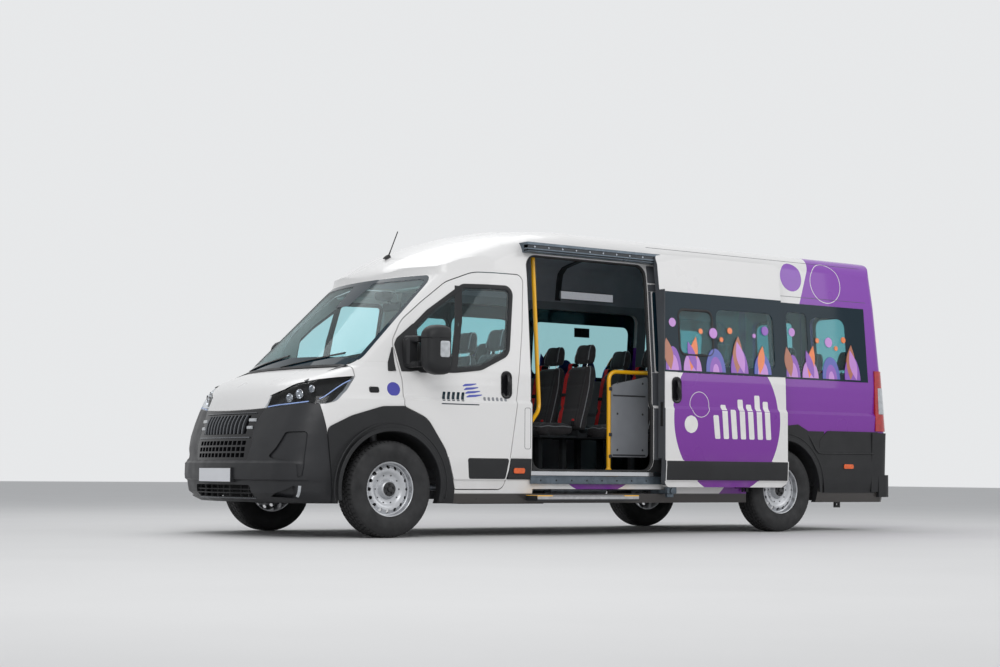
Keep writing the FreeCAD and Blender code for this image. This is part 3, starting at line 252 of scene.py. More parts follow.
def clear(name, tint, veil=0.0, veil_color=(0.5, 0.5, 0.5), shine=0.6):
    """A thin pane: the scene behind it tinted, with a clear reflection."""
    finish = Finish(name, tint, 0.02)
    through = finish.add("ShaderNodeBsdfTransparent", (*tint, 1)).outputs[0]
    mirror = finish.add("ShaderNodeBsdfGlossy")
    finish.join(finish.ramp(finish.noise(2.0), 0.0, 1.0, 0.02, 0.04), mirror.inputs["Roughness"])
    facing = finish.add("ShaderNodeLayerWeight").outputs["Facing"]
    share = finish.math("ADD", finish.math("MULTIPLY", finish.math("POWER", facing, 5.0), shine), 0.025)
    film = finish.add("ShaderNodeMixShader", share, through, mirror.outputs[0]).outputs[0]
    if veil:
        dust = finish.add("ShaderNodeBsdfDiffuse", (*veil_color, 1)).outputs[0]
        film = finish.add("ShaderNodeMixShader", veil, film, dust).outputs[0]
    output = finish.tree.nodes["Material Output"]
    finish.tree.links.new(film, output.inputs["Surface"])
    finish.tree.nodes.remove(finish.shader)
    return finish.material


def fabric(name, color, pitch, strength=0.5, sheen=0.25):
    """Woven cloth: two crossed ribs, with flecks."""
    finish = Finish(name, color, 0.85)
    x, y, z = finish.axes()
    turns = 2 * math.pi / pitch
    warp = finish.math("SINE", finish.math("MULTIPLY", finish.math("ADD", x, z), turns))
    weft = finish.math("SINE", finish.math("MULTIPLY", y, turns))
    weave = finish.math("MULTIPLY", warp, weft)
    finish.brighten(finish.ramp(finish.noise(900.0, 2.0), 0.35, 0.75, 0.7, 1.5))
    finish.set("Sheen Weight", sheen)
    return finish.bump(weave, strength, 0.0004).material


def make_materials():
    made = {kind: paintwork("paint_" + kind, kind) for kind in ("white", "panel", "door", "tail", "roof")}
    made["black"] = moulded("black_moulding", (0.018, 0.0185, 0.020), 0.42, 0.58, specular=0.3)
    made["bumper"] = moulded("bumper_moulding", (0.022, 0.0225, 0.025), 0.36, 0.5, 0.12, 0.35)
    made["trim"] = moulded("grey_trim", (0.24, 0.25, 0.27), 0.55, 0.7)
    made["dark_trim"] = moulded("dark_trim", (0.035, 0.036, 0.04), 0.6, 0.75)
    made["lining"] = moulded("roof_lining", (0.42, 0.42, 0.46), 0.85, 0.95, 0.5)
    made["cab_trim"] = moulded("cab_trim", (0.50, 0.49, 0.46), 0.6, 0.75)
    made["rubber"] = moulded("rubber", (0.012, 0.012, 0.013), 0.55, 0.72, 0.1)
    piano = Finish("gloss_black", (0.01, 0.01, 0.012), 0.08)
    piano.set("Specular IOR Level", 0.3)
    made["gloss_black"] = piano.worn(0.05, 0.14).material
    made["hub"] = moulded("hub_black", (0.022, 0.022, 0.024), 0.3, 0.45, 0.08)
    made["edge"] = moulded("door_edge_and_shadow_grey", (0.085, 0.09, 0.10), 0.4, 0.55, 0.08)
    track = Finish("track_metal", (0.10, 0.125, 0.15), 0.35, 0.6)
    made["track"] = track.vary(0.2, 18.0).worn(0.25, 0.42).material
    made["seam"] = moulded("panel_seam", (0.10, 0.10, 0.11), 0.6, 0.7, 0.05)
    made["dark_track"] = moulded("track_shadow", (0.03, 0.035, 0.042), 0.4, 0.55, 0.08)
    made["mirror"] = Finish("mirror_glass", (0.75, 0.77, 0.79), 0.03, 1.0).worn(0.02, 0.05).material
    made["slat"] = Finish("satin_slat", (0.11, 0.115, 0.125), 0.22, 0.6).worn(0.16, 0.3).material
    made["dark"] = moulded("dark_recess", (0.006, 0.006, 0.007), 0.7, 0.8)
    made["glass"] = clear("side_glazing", (0.60, 0.80, 0.82), veil=0.015, veil_color=(0.2, 0.4, 0.45))
    made["cab_glass"] = clear("cab_glazing", (0.82, 0.95, 0.965), shine=0.35)
    made["lens"] = clear("lamp_lens", (0.86, 0.88, 0.9))
    border = Finish("glass_border", (0.009, 0.024, 0.036), 0.05)
    border.set("Specular IOR Level", 0.15)
    made["frit"] = border.worn(0.03, 0.08, 2.0).material
    chrome = Finish("bright_metal", (0.62, 0.63, 0.65), 0.15, 1.0)
    made["chrome"] = chrome.worn(0.1, 0.22).material
    steel = Finish("galvanised_steel", (0.33, 0.36, 0.40), 0.4, 0.7)
    made["steel"] = steel.vary(0.25, 14.0).worn(0.3, 0.5, 20.0).material
    silver = Finish("wheel_silver", (0.52, 0.53, 0.55), 0.3, 0.55)
    silver.vary(0.08, 8.0).worn(0.26, 0.42, 10.0)
    made["silver"] = silver.bump(silver.noise(500.0), 0.05, 0.0005).material
    tyre = Finish("tyre_rubber", (0.017, 0.017, 0.018), 0.72)
    tyre.vary(0.3, 7.0).worn(0.6, 0.85, 12.0)
    made["tyre"] = tyre.bump(tyre.noise(350.0, 5.0), 0.2, 0.0006).material
    yellow = Finish("yellow_paint", (0.95, 0.48, 0.006), 0.3)
    yellow.set("Coat Weight", 0.4)
    made["yellow"] = yellow.vary(0.06).bump(yellow.noise(500.0), 0.05).material
    made["seat"] = fabric("seat_cloth", (0.050, 0.044, 0.047), 0.0025)
    made["piping"] = fabric("seat_piping", (0.40, 0.40, 0.42), 0.0015, 0.3)
    made["belt"] = fabric("belt_webbing", (0.92, 0.03, 0.03), 0.0016, 0.7, 0.05)
    frame_paint = Finish("frame_paint", (0.03, 0.031, 0.034), 0.5)
    made["frame"] = frame_paint.vary(0.4, 10.0).bump(frame_paint.noise(120.0), 0.15).material
    cast = Finish("cast_metal", (0.17, 0.17, 0.18), 0.6, 0.5)
    made["cast"] = cast.vary(0.25, 20.0).bump(cast.noise(220.0, 5.0), 0.5).material
    floor = Finish("floor_vinyl", (0.05, 0.052, 0.058), 0.6)
    floor.vary(0.5, 420.0)
    made["vinyl"] = floor.bump(floor.noise(700.0), 0.25).material
    alloy = Finish("ribbed_alloy", (0.42, 0.42, 0.43), 0.4, 0.8)
    made["alloy"] = alloy.vary(0.12, 30.0).worn(0.3, 0.5, 15.0).material
    plate = Finish("blank_plate", (0.74, 0.75, 0.78), 0.35)
    made["plate"] = plate.vary(0.03).bump(plate.noise(900.0), 0.03).material
    lamp = Finish("lamp_panel", (0.75, 0.75, 0.74), 0.4)
    lamp.set("Emission Color", (0.9, 0.92, 1, 1))
    lamp.set("Emission Strength", 0.25)
    made["lamp"] = lamp.vary(0.05, 40.0).material
    blue = Finish("light_strip", (0.30, 0.42, 0.75), 0.2)
    made["strip"] = blue.vary(0.1, 30.0).material
    for name, color in (("red_lens", (0.42, 0.006, 0.008)), ("orange_lens", (0.75, 0.11, 0.01)),
                        ("pale_lens", (0.46, 0.48, 0.50))):
        finish = Finish(name, color, 0.12)
        finish.set("Coat Weight", 0.6)
        prism = finish.math("SINE", finish.math("MULTIPLY", finish.axes()[2], 900.0))
        made[name] = finish.vary(0.2, 25.0).bump(prism, 0.15, 0.0008).material
    for name, color in (("art_purple", (0.24, 0.06, 0.46)), ("art_lilac", (0.55, 0.24, 0.66)),
                        ("art_blue", (0.06, 0.08, 0.42)), ("art_orange", (0.85, 0.20, 0.04)),
                        ("art_brown", (0.42, 0.13, 0.06)), ("art_white", (0.80, 0.79, 0.77)),
                        ("sign_blue", (0.045, 0.045, 0.36))):
        finish = Finish(name, color, 0.35)
        finish.set("Coat Weight", 0.5)
        made[name] = finish.vary(0.04, 12.0).worn(0.3, 0.4).material
    return made


M = make_materials()
make_camera()


# Mesh helpers

def rounded(corners, step=0.03):
    """An outline's points, each of its corners (u, v, radius) rounded."""
    count = len(corners)
    runs = []
    for index, (u, v, radius) in enumerate(corners):
        here = Vector((u, v))
        to_last = Vector(corners[index - 1][:2]) - here
        to_next = Vector(corners[(index + 1) % count][:2]) - here
        half = to_last.angle(to_next) / 2
        reach = min(radius / max(math.tan(half), 1e-6), to_last.length * 0.49, to_next.length * 0.49)
        real = reach * math.tan(half)
        start, end = here + to_last.normalized() * reach, here + to_next.normalized() * reach
        if real < 1e-5:
            runs.append([here])
            continue
        turn = math.pi - 2 * half
        centre = here + (to_last.normalized() + to_next.normalized()).normalized() * real / math.sin(half)
        pieces = max(2, int(math.ceil(turn / math.radians(11))))
        ray, last = start - centre, end - centre
        way = math.atan2(ray.x * last.y - ray.y * last.x, ray.dot(last))
        arc = []
        for part in range(pieces + 1):
            angle = way * part / pieces
            arc.append(centre + Vector((ray.x * math.cos(angle) - ray.y * math.sin(angle),
                                        ray.x * math.sin(angle) + ray.y * math.cos(angle))))
        runs.append(arc)
    points = []
    for index, run in enumerate(runs):
        points += run
        end, start = run[-1], runs[(index + 1) % count][0]
        pieces = max(1, int((start - end).length / step))
        points += [end.lerp(start, part / pieces) for part in range(1, pieces)]
    return points


def loop(low_u, low_v, high_u, high_v, radius, step=0.03):
    """A rounded rectangle's outline."""
    return rounded(((low_u, low_v, radius), (high_u, low_v, radius), (high_u, high_v, radius),
                    (low_u, high_v, radius)), step)


def ring(centre, radii, count=32):
    """An ellipse's outline."""
    wide, tall = radii if isinstance(radii, tuple) else (radii, radii)
    return [Vector((centre[0] + wide * math.cos(2 * math.pi * part / count),
                    centre[1] + tall * math.sin(2 * math.pi * part / count))) for part in range(count)]


def shrink(points, share):
    centre = sum(points, Vector((0, 0))) / len(points)
    return [centre.lerp(point, share) for point in points]


def inset(points, depth):
    """A closed outline moved inward by depth."""
    count = len(points)
    area = sum(points[i - 1].x * points[i].y - points[i].x * points[i - 1].y for i in range(count))
    way = 1 if area > 0 else -1
    moved = []
    for index, point in enumerate(points):
        run = (points[(index + 1) % count] - points[index - 1]).normalized()
        moved.append(point + Vector((-run.y, run.x)) * way * depth)
    return moved


class Shape:
    """Points and faces of one piece, each face with the number of its material."""

    def __init__(self):
        self.points = []
        self.faces = []
        self.paints = []

    def add(self, points, faces, paint=0):
        start = len(self.points)
        self.points += [tuple(point) for point in points]
        self.faces += [tuple(start + index for index in face) for face in faces]
        self.paints += [paint] * len(faces)
        return self

    def box(self, low, high, edge=0.002, paint=0):
        """A box with chamfered edges."""
        low, high = Vector(low), Vector(high)
        centre, half = (low + high) / 2, (high - low) / 2
        edge = min(edge, min(half) * 0.6)
        points, faces, place = [], [], {}
        signs = (-1, 1)
        for corner in product(signs, repeat=3):
            for axis in range(3):
                place[(*corner, axis)] = len(points)
                points.append(Vector([corner[i] * (half[i] - (0 if i == axis else edge)) for i in range(3)]))
        for axis in range(3):
            first, second = [i for i in range(3) if i != axis]

            def number(side, a, b, flat_axis):
                key = [0, 0, 0]
                key[axis], key[first], key[second] = side, a, b
                return place[(*key, flat_axis)]

            for side in signs:
                faces.append([number(side, a, b, axis) for a, b in ((-1, -1), (1, -1), (1, 1), (-1, 1))])
            for a, b in product(signs, repeat=2):
                faces.append([number(-1, a, b, first), number(1, a, b, first),
                              number(1, a, b, second), number(-1, a, b, second)])
        faces += [[place[(*corner, axis)] for axis in range(3)] for corner in product(signs, repeat=3)]
        outward = []
        for face in faces:
            a, b, c = (points[index] for index in face[:3])
            mean = sum((points[index] for index in face), Vector())
            outward.append(face if (b - a).cross(c - a).dot(mean) > 0 else face[::-1])
        return self.add([centre + point for point in points], outward, paint)

    def loops(self, rows, closed=True, cap_first=False, cap_last=False, paint=0, joined=False):
        """A skin over rows of points, each row an equal number of points."""
        count = len(rows[0])
        points = [point for row in rows for point in row]
        faces = []
        turns = len(rows) if joined else len(rows) - 1
        for row in range(turns):
            nxt = (row + 1) % len(rows)
            for index in range(count if closed else count - 1):
                after = (index + 1) % count
                faces.append([row * count + index, row * count + after, nxt * count + after,
                              nxt * count + index])
        if cap_first:
            faces.append(list(range(count))[::-1])
        if cap_last:
            faces.append([(len(rows) - 1) * count + index for index in range(count)])
        return self.add(points, faces, paint)

    def tube(self, path, radius, sides=8, around=False):
        """A round bar along a path; radius may be a list."""
        path = [Vector(point) for point in path]
        count = len(path)
        rows, side = [], None
        for index, point in enumerate(path):
            before = path[index - 1] if index or around else point
            after = path[(index + 1) % count] if index < count - 1 or around else point
            run = (after - before).normalized()
            if side is None:
                side = run.cross(UP if abs(run.z) < 0.9 else Vector((1, 0, 0))).normalized()
            side = (side - run * side.dot(run)).normalized()
            other = run.cross(side)
            size = radius[index] if isinstance(radius, (list, tuple)) else radius
            rows.append([point + size * (math.cos(2 * math.pi * part / sides) * side
                                         + math.sin(2 * math.pi * part / sides) * other)
                         for part in range(sides)])
        return self.loops(rows, True, not around, not around, joined=around)

    def turned(self, profile, centre, axis=1, sides=48, paint=0, closed=False):
        """A profile of (distance along the axis, radius) turned about an axis through the centre."""
        rows = []
        for part in range(sides):
            angle = 2 * math.pi * part / sides
            row = []
            for along, radius in profile:
                place = [radius * math.cos(angle), radius * math.sin(angle)]
                place.insert(axis, along)
                row.append(Vector(centre) + Vector(place))
            rows.append(row)
        return self.loops(rows, closed, False, False, paint, True)

    def sweep(self, path, normals, profile, around=True, paint=0):
        """A section of (sideways, outward) points carried along a path on a surface."""
        count = len(path)
        rows = []
        for index, point in enumerate(path):
            before = path[index - 1] if index or around else point
            after = path[(index + 1) % count] if index < count - 1 or around else point
            run = (after - before).normalized()
            normal = normals[index]
            normal = (normal - run * normal.dot(run)).normalized()
            side = normal.cross(run)
            rows.append([point + side * u + normal * v for u, v in profile])
        return self.loops(rows, True, not around, not around, paint, around)


def smooth(item, angle=35):
    """Normals averaged over faces that meet at less than the angle."""
    mesh = item.data
    mesh.polygons.foreach_set("use_smooth", [True] * len(mesh.polygons))
    limit = math.cos(math.radians(angle))
    groups = {}
    for polygon in mesh.polygons:
        for corner in polygon.loop_indices:
            place = mesh.vertices[mesh.loops[corner].vertex_index].co
            key = (round(place.x * 20000), round(place.y * 20000), round(place.z * 20000))
            groups.setdefault(key, []).append((corner, polygon.index))
    facing = [polygon.normal.copy() for polygon in mesh.polygons]
    weight = [max(polygon.area, 1e-9) for polygon in mesh.polygons]
    result = [None] * len(mesh.loops)
    for members in groups.values():
        for corner, face in members:
            total = Vector()
            for _, other in members:
                if facing[face].dot(facing[other]) > limit:
                    total += facing[other] * weight[other]
            result[corner] = total.normalized()
    mesh.normals_split_custom_set(result)
    return item


def piece(name, shape, materials, body="root", angle=35, weld=True):
    """One object made from a shape, riding on a body."""
    mesh = bpy.data.meshes.new(name)
    mesh.from_pydata(shape.points, [], shape.faces)
    for material in materials if isinstance(materials, (list, tuple)) else [materials]:
        mesh.materials.append(material)
    mesh.polygons.foreach_set("material_index", shape.paints)
    work = bmesh.new()
    work.from_mesh(mesh)
    if weld:
        bmesh.ops.remove_doubles(work, verts=work.verts, dist=1e-6)
    bmesh.ops.recalc_face_normals(work, faces=work.faces)
    work.to_mesh(mesh)
    work.free()
    mesh.update()
    item = bpy.data.objects.new(name, mesh)
    bpy.context.scene.collection.objects.link(item)
    if angle:
        smooth(item, angle)
    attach(item, body)
    return item


class Surface:
    """What things are laid on: lay() gives places and normals for points seen from one side."""

    def raised(self, points, view, side, height):
        return [place + normal * height for place, normal in zip(*self.lay(points, view, side))]


class Skin(Surface):
    """The outer surface of some CAD nodes."""

    def __init__(self, *names):
        points, faces = [], []
        for name in names:
            mesh = NODES[name].data
            start = len(points)
            points += [vertex.co.copy() for vertex in mesh.vertices]
            faces += [[start + index for index in polygon.vertices] for polygon in mesh.polygons]
        self.tree = BVHTree.FromPolygons(points, faces)

    def cast(self, start, way):
        place, normal = self.tree.ray_cast(Vector(start), Vector(way))[:2]
        if place is None:
            place, normal = self.tree.find_nearest(Vector(start) + Vector(way) * FAR)[:2]
        if normal.dot(Vector(way)) > 0:
            normal = -normal
        return place, normal

    def side(self, x, z, side):
        return self.cast((x, side * FAR, z), (0, -side, 0))

    def front(self, y, z):
        return self.cast((2 * FAR, y, z), (-1, 0, 0))

    def rear(self, y, z):
        return self.cast((-2 * FAR, y, z), (1, 0, 0))

    def top(self, x, y):
        return self.cast((x, y, 2 * FAR), (0, 0, -1))

    def lay(self, points, view, side=LEFT):
        """Places and normals for (u, v) points seen from the side, front, rear or top."""
        seen = (lambda u, v: self.side(u, v, side)) if view == "side" else getattr(self, view)
        found = [seen(u, v) for u, v in points]
        return [place for place, _ in found], [normal for _, normal in found]


class Outer(Skin):
    """A skin whose casts from the side pass over narrow gaps between panels."""

    def side(self, x, z, side):
        best = None
        for dx, dz in ((0, 0), (0.004, 0), (-0.004, 0), (0, 0.004), (0, -0.004)):
            place, normal = super().side(x + dx, z + dz, side)
            if best is None or place.y * side > best[0].y * side + 0.004:
                best = (Vector((x, place.y, z)), normal)
        return best


def decal(shape, skin, rows, view, side=LEFT, lift=0.0006, thick=0.0005, paint=0, fill=True):
    """A thin film over rows of outlines, outermost first, the last one filled."""
    foot = lift - thick - 0.0004
    laid = [skin.raised(row, view, side, lift) for row in rows]
    shape.loops([skin.raised(rows[0], view, side, foot)] + laid, True, False, fill, paint)
    if not fill:
        shape.loops([laid[-1], skin.raised(rows[-1], view, side, foot)], paint=paint)
    return shape


# What the CAD nodes are made of

NODE_LOOKS = {
    "bonnet": "white", "front_wings": "white", "cab_frame": "white", "front_door_left": "white",
    "front_door_right": "white", "roof_panel": "roof", "side_panel_left": "panel",
    "side_panel_right": "panel", "sliding_door": "door", "rear_door_left": "tail",
    "rear_door_right": "tail", "rear_hinges": "black", "side_glass": "glass",
    "windscreen": "cab_glass", "front_door_glass_left": "cab_glass",
    "front_door_glass_right": "cab_glass", "rear_door_glass_left": "glass",
    "rear_door_glass_right": "glass", "side_cladding": "black", "rear_bumper": "black",
    "front_bumper": "bumper", "grille": "gloss_black", "mirror_left": "black",
    "mirror_right": "black", "wipers": "rubber", "aerial": "rubber", "headlamps": "lens",
    "rear_lamps": "red_lens", "dashboard": "dark_trim", "steering_wheel": "dark_trim",
    "steering_column": "dark_trim", "floor_pan": "vinyl", "seat_cushions": "seat",
    "seat_backs": "seat", "headrests": "seat", "seat_frames": "frame", "grab_rails": "yellow",
    "modesty_panel": "trim", "wheel_housings": "rubber", "underframe": "frame",
    "front_suspension": "frame", "engine": "cast", "rear_axle": "cast", "rear_springs": "frame",
    "knuckle_left": "cast", "knuckle_right": "cast", "exhaust": "steel", "fuel_tank": "black",
    "side_step": "bumper", "sliding_door_rails": "track",
}
for corner in ("front_left", "front_right", "rear_left", "rear_right"):
    NODE_LOOKS["tyre_" + corner] = "tyre"
    NODE_LOOKS["rim_" + corner] = "silver"

# Bodywork whose inward faces are lined, and the lining of each
LINED = {"cab_frame": "cab_trim", "front_door_left": "cab_trim", "front_door_right": "cab_trim",
         "roof_panel": "lining", "side_panel_left": "trim", "side_panel_right": "trim",
         "sliding_door": "edge", "rear_door_left": "trim", "rear_door_right": "trim",
         "front_wings": "dark", "bonnet": "dark", "floor_pan": "frame"}


def faces_inward(name, centre, normal):
    """Whether a face of a lined node looks into the vehicle, the bonnet's bay or the ground."""
    side_face = normal.y * centre.y < 0
    if name in ("floor_pan", "bonnet"):
        return normal.z < -0.3
    if name == "roof_panel":
        return normal.z < -0.25 or side_face and abs(normal.y) > 0.2
    if name == "sliding_door":
        return normal.y < -0.3 or normal.x > 0.7
    if name in ("rear_door_left", "rear_door_right"):
        return normal.x > 0.3
    if name == "cab_frame" and abs(centre.y) < 0.6 and centre.z > 1.9:
        return normal.z < -0.3 or normal.x < -0.3
    return side_face and abs(normal.y) > 0.3


def dress_nodes():
    for name, item in NODES.items():
        item.data.materials.clear()
        item.data.materials.append(M[NODE_LOOKS[name]])
        if name in LINED:
            item.data.materials.append(M[LINED[name]])
            item.data.materials.append(M["black"])
            for polygon in item.data.polygons:
                x, _, z = polygon.center
                axle = FRONT_AXLE if x > 0 else REAR_AXLE
                in_arch = math.hypot(x - axle, z - HUB) < ARCH_RADIUS + 0.004
                cowl = name == "cab_frame" and x > FRONT_AXLE + 0.1 and 1.27 < z < 1.30
                if cowl or in_arch or name == "front_wings" and z < 0.76:
                    polygon.material_index = 2
                else:
                    polygon.material_index = int(faces_inward(name, polygon.center, polygon.normal))
        smooth(item, 32)


dress_nodes()


def make_stage():
    """A wide pale floor and a world that lights from all round."""
    reach, ground = 60.0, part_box("tyre_front_left")[0].z - 0.001
    mesh = bpy.data.meshes.new("floor")
    mesh.from_pydata([(-reach, -reach, ground), (reach, -reach, ground), (reach, reach, ground),
                      (-reach, reach, ground)], [], [(0, 1, 2, 3)])
    floor = bpy.data.objects.new("floor", mesh)
    bpy.context.scene.collection.objects.link(floor)
    finish = Finish("floor", (0.66, 0.655, 0.65), 0.8)
    finish.vary(0.015, 0.8)
    finish.bump(finish.noise(60.0, 4.0), 0.05)
    mesh.materials.append(finish.material)

    world = bpy.data.worlds.new("studio")
    bpy.context.scene.world = world
    world.use_nodes = True
    sky = Nodes(world.node_tree)
    sky.tree.nodes.clear()
    path = sky.add("ShaderNodeLightPath").outputs
    shown = sky.math("MAXIMUM", path["Is Camera Ray"], path["Is Transmission Ray"])
    shown = sky.math("MAXIMUM", shown, path["Is Glossy Ray"])
    light = sky.add("ShaderNodeBackground", (0.93, 0.96, 1.0, 1), 0.55).outputs[0]
    backdrop = sky.add("ShaderNodeBackground", (0.80, 0.81, 0.82, 1)).outputs[0]
    sky.add("ShaderNodeOutputWorld", sky.add("ShaderNodeMixShader", shown, light, backdrop).outputs[0])
    for name, place, aim, size, power in (
            ("key", (7.0, 8.0, 7.5), (0.5, 0.5, 1.0), 6.0, 420),
            ("fill", (-6.0, 8.0, 5.0), (-1.0, 0.6, 1.0), 6.0, 170),
            ("over", (0.0, -3.0, 8.0), (0.0, 0.0, 1.0), 7.0, 260)):
        data = bpy.data.lights.new(name, "AREA")
        data.size = size
        data.energy = power
        lamp = bpy.data.objects.new(name, data)
        way = Vector(aim) - Vector(place)
        lamp.matrix_world = Matrix.Translation(place) @ way.to_track_quat("-Z", "Y").to_matrix().to_4x4()
        bpy.context.scene.collection.objects.link(lamp)
    bpy.context.scene.view_settings.view_transform = "Standard"


make_stage()

# Glazing

BAND_LOW = 1.338
BAND_HIGH = 2.012


def even_loop(low_u, low_v, high_u, high_v, radius, along=7, arc=5):
    """A rounded rectangle with a fixed number of points, so that two of them can be joined."""
    corners = ((high_u - radius, low_v + radius, -0.5), (high_u - radius, high_v - radius, 0.0),
               (low_u + radius, high_v - radius, 0.5), (low_u + radius, low_v + radius, 1.0))

    def place(corner, turn):
        angle = math.pi * (corner[2] + turn)
        return Vector(corner[:2]) + radius * Vector((math.cos(angle), math.sin(angle)))

    points = []
    for index, corner in enumerate(corners):
        points += [place(corner, 0.5 * part / arc) for part in range(arc + 1)]
        begin, end = points[-1], place(corners[(index + 1) % 4], 0.0)
        points += [begin.lerp(end, part / along) for part in range(1, along)]
    return points


class Flush(Surface):
    """A plane surface stretched over window openings, from the panel just below to just above them."""

    def __init__(self, skin, side):
        self.skin, self.side_sign = skin, side
        self.known = {}

    def lay(self, points, view="side", side=LEFT):
        places, normals = [], []
        for x, z in points:
            key = round(x, 3)
            if key not in self.known:
                self.known[key] = [self.skin.side(x, height, self.side_sign)[0]
                                   for height in (BAND_LOW - 0.05, BAND_HIGH + 0.035)]
            below, above = self.known[key]
            share = (z - below.z) / (above.z - below.z)
            run = (above - below).normalized()
            places.append(Vector((x, below.y + (above.y - below.y) * share, z)))
            normals.append(Vector((0, run.z, -run.y)) * self.side_sign)
        return places, normals


def window_band(name, skin, side, x_front, x_rear, zones):
    """The black border of a bonded side window, with clear zones left in it."""
    flush = Flush(skin, side)
    shape = Shape()
    seals = Shape()
    edges = [x_front] + [(zones[i][1] + zones[i + 1][0]) / 2 for i in range(len(zones) - 1)] + [x_rear]
    corner = 0.02 if len(zones) == 1 else 0.004
    for index, (start, end, bottom, top, radius, vent) in enumerate(zones):
        outer = even_loop(edges[index + 1], BAND_LOW, edges[index], BAND_HIGH, corner, 12)
        inner = even_loop(end, bottom, start, top, radius, 12)
        decal(shape, flush, [outer, inner], "side", side, 0.0035, 0.003, 0, fill=False)
        if vent:
            places, normals = flush.lay(loop(end, bottom, start, top, radius, 0.04))
            seals.sweep(places, normals, [(-0.012, 0.0), (-0.010, 0.006), (0.0, 0.009), (0.010, 0.006),
                                          (0.012, 0.0)])
    piece(name, shape, M["frit"], "root", 25)
    if seals.points:
        piece(name + "_vent_seal", seals, M["rubber"], "root", 60)


LEFT_SKIN = Skin("side_panel_left")
RIGHT_SKIN = Skin("side_panel_right")
DOOR_SKIN = Skin("sliding_door")


def make_glazing():
    vent = (1.487, 1.867, 0.06, True)
    wide = (1.40, 1.887, 0.07, False)
    rear = ((-1.90, -2.15, 1.40, 1.93, 0.05, False), (-2.19, -2.63, 1.40, 1.90, 0.08, False))
    for name, skin, side, x_front, x_rear, zones in (
            ("sliding_door", DOOR_SKIN, LEFT, -0.343, -1.731,
             ((-0.531, -0.906, *vent), (-0.953, -1.62, *wide))),
            ("left_rear", LEFT_SKIN, LEFT, -1.83, -2.893, rear),
            ("left_middle", LEFT_SKIN, LEFT, -0.36, -1.76, ((-0.45, -1.67, 1.40, 1.93, 0.07, False),)),
            ("right_front", RIGHT_SKIN, RIGHT, 0.945, -0.352, ((0.82, 0.42, *vent), (0.37, -0.25, *wide))),
            ("right_middle", RIGHT_SKIN, RIGHT, -0.368, -1.785, ((-0.55, -1.68, *wide),)),
            ("right_rear", RIGHT_SKIN, RIGHT, -1.80, -2.893, rear)):
        window_band(name + "_window_border", skin, side, x_front, x_rear, zones)


make_glazing()

# Livery

def patch(shape, skin, outline, side=LEFT, paint=0, lift=0.0008, thick=0.0012, view="side"):
    """A thin filled film inside a convex outline, laid on a surface in level rows."""
    lows, highs = min(point[1] for point in outline), max(point[1] for point in outline)
    left, right = min(point[0] for point in outline), max(point[0] for point in outline)
    levels = max(3, int((highs - lows) / 0.011))
    columns = max(2, int((right - left) / 0.045) + 1)
    rows = []
    for level in range(levels + 1):
        share = 0.5 - 0.5 * math.cos(math.pi * level / levels) if levels < 12 else level / levels
        v = lows + (highs - lows) * min(max(share, 0.004), 0.996)
        cuts = []
        for index, point in enumerate(outline):
            last = outline[index - 1]
            if (last[1] - v) * (point[1] - v) <= 0 and last[1] != point[1]:
                cuts.append(last[0] + (point[0] - last[0]) * (v - last[1]) / (point[1] - last[1]))
        start, end = min(cuts), max(cuts)
        line = [(start + (end - start) * part / columns, v) for part in range(columns + 1)]
        places, normals = skin.lay(line, view, side)
        rows.append([place + normal * lift for place, normal in zip(places, normals)]
                    + [place + normal * (lift - thick) for place, normal in zip(places, normals)][::-1])
    return shape.loops(rows, True, True, True, paint)


def spot(shape, skin, centre, radii, side, paint, lift=0.0008, hole=None):
    """A disc, or a ring where it has a hole, laid on the bodywork."""
    outer = ring(centre, radii, 64)
    if hole:
        return decal(shape, skin, [outer, shrink(outer, hole)], "side", side, lift, 0.0004, paint, fill=False)
    return patch(shape, skin, outer, side, paint, lift)


def blot(shape, skin, corners, radius, side, paint, step=0.02):
    """A filled convex patch with rounded corners, laid on the bodywork."""
    return patch(shape, skin, rounded([(*corner, radius) for corner in corners], step), side, paint)


def leaf(centre, length, width, lean):
    """A pointed leaf's outline, leaning from upright by the angle in degrees."""
    turn = math.radians(lean)
    along = Vector((math.sin(turn), math.cos(turn)))
    across = Vector((along.y, -along.x))
    edge = [(part / 14, math.sin(math.pi * part / 14)) for part in range(15)]
    right = [Vector(centre) + along * length * t + across * width / 2 * w for t, w in edge]
    left = [Vector(centre) + along * length * t - across * width / 2 * w for t, w in edge[1:-1]]
    return right + left[::-1]


def arch(centre, radius, height):
    """A half-disc hill standing on its flat base."""
    return [Vector((centre[0] + radius * math.cos(math.pi * part / 18),
                    centre[1] + height * math.sin(math.pi * part / 18))) for part in range(19)]


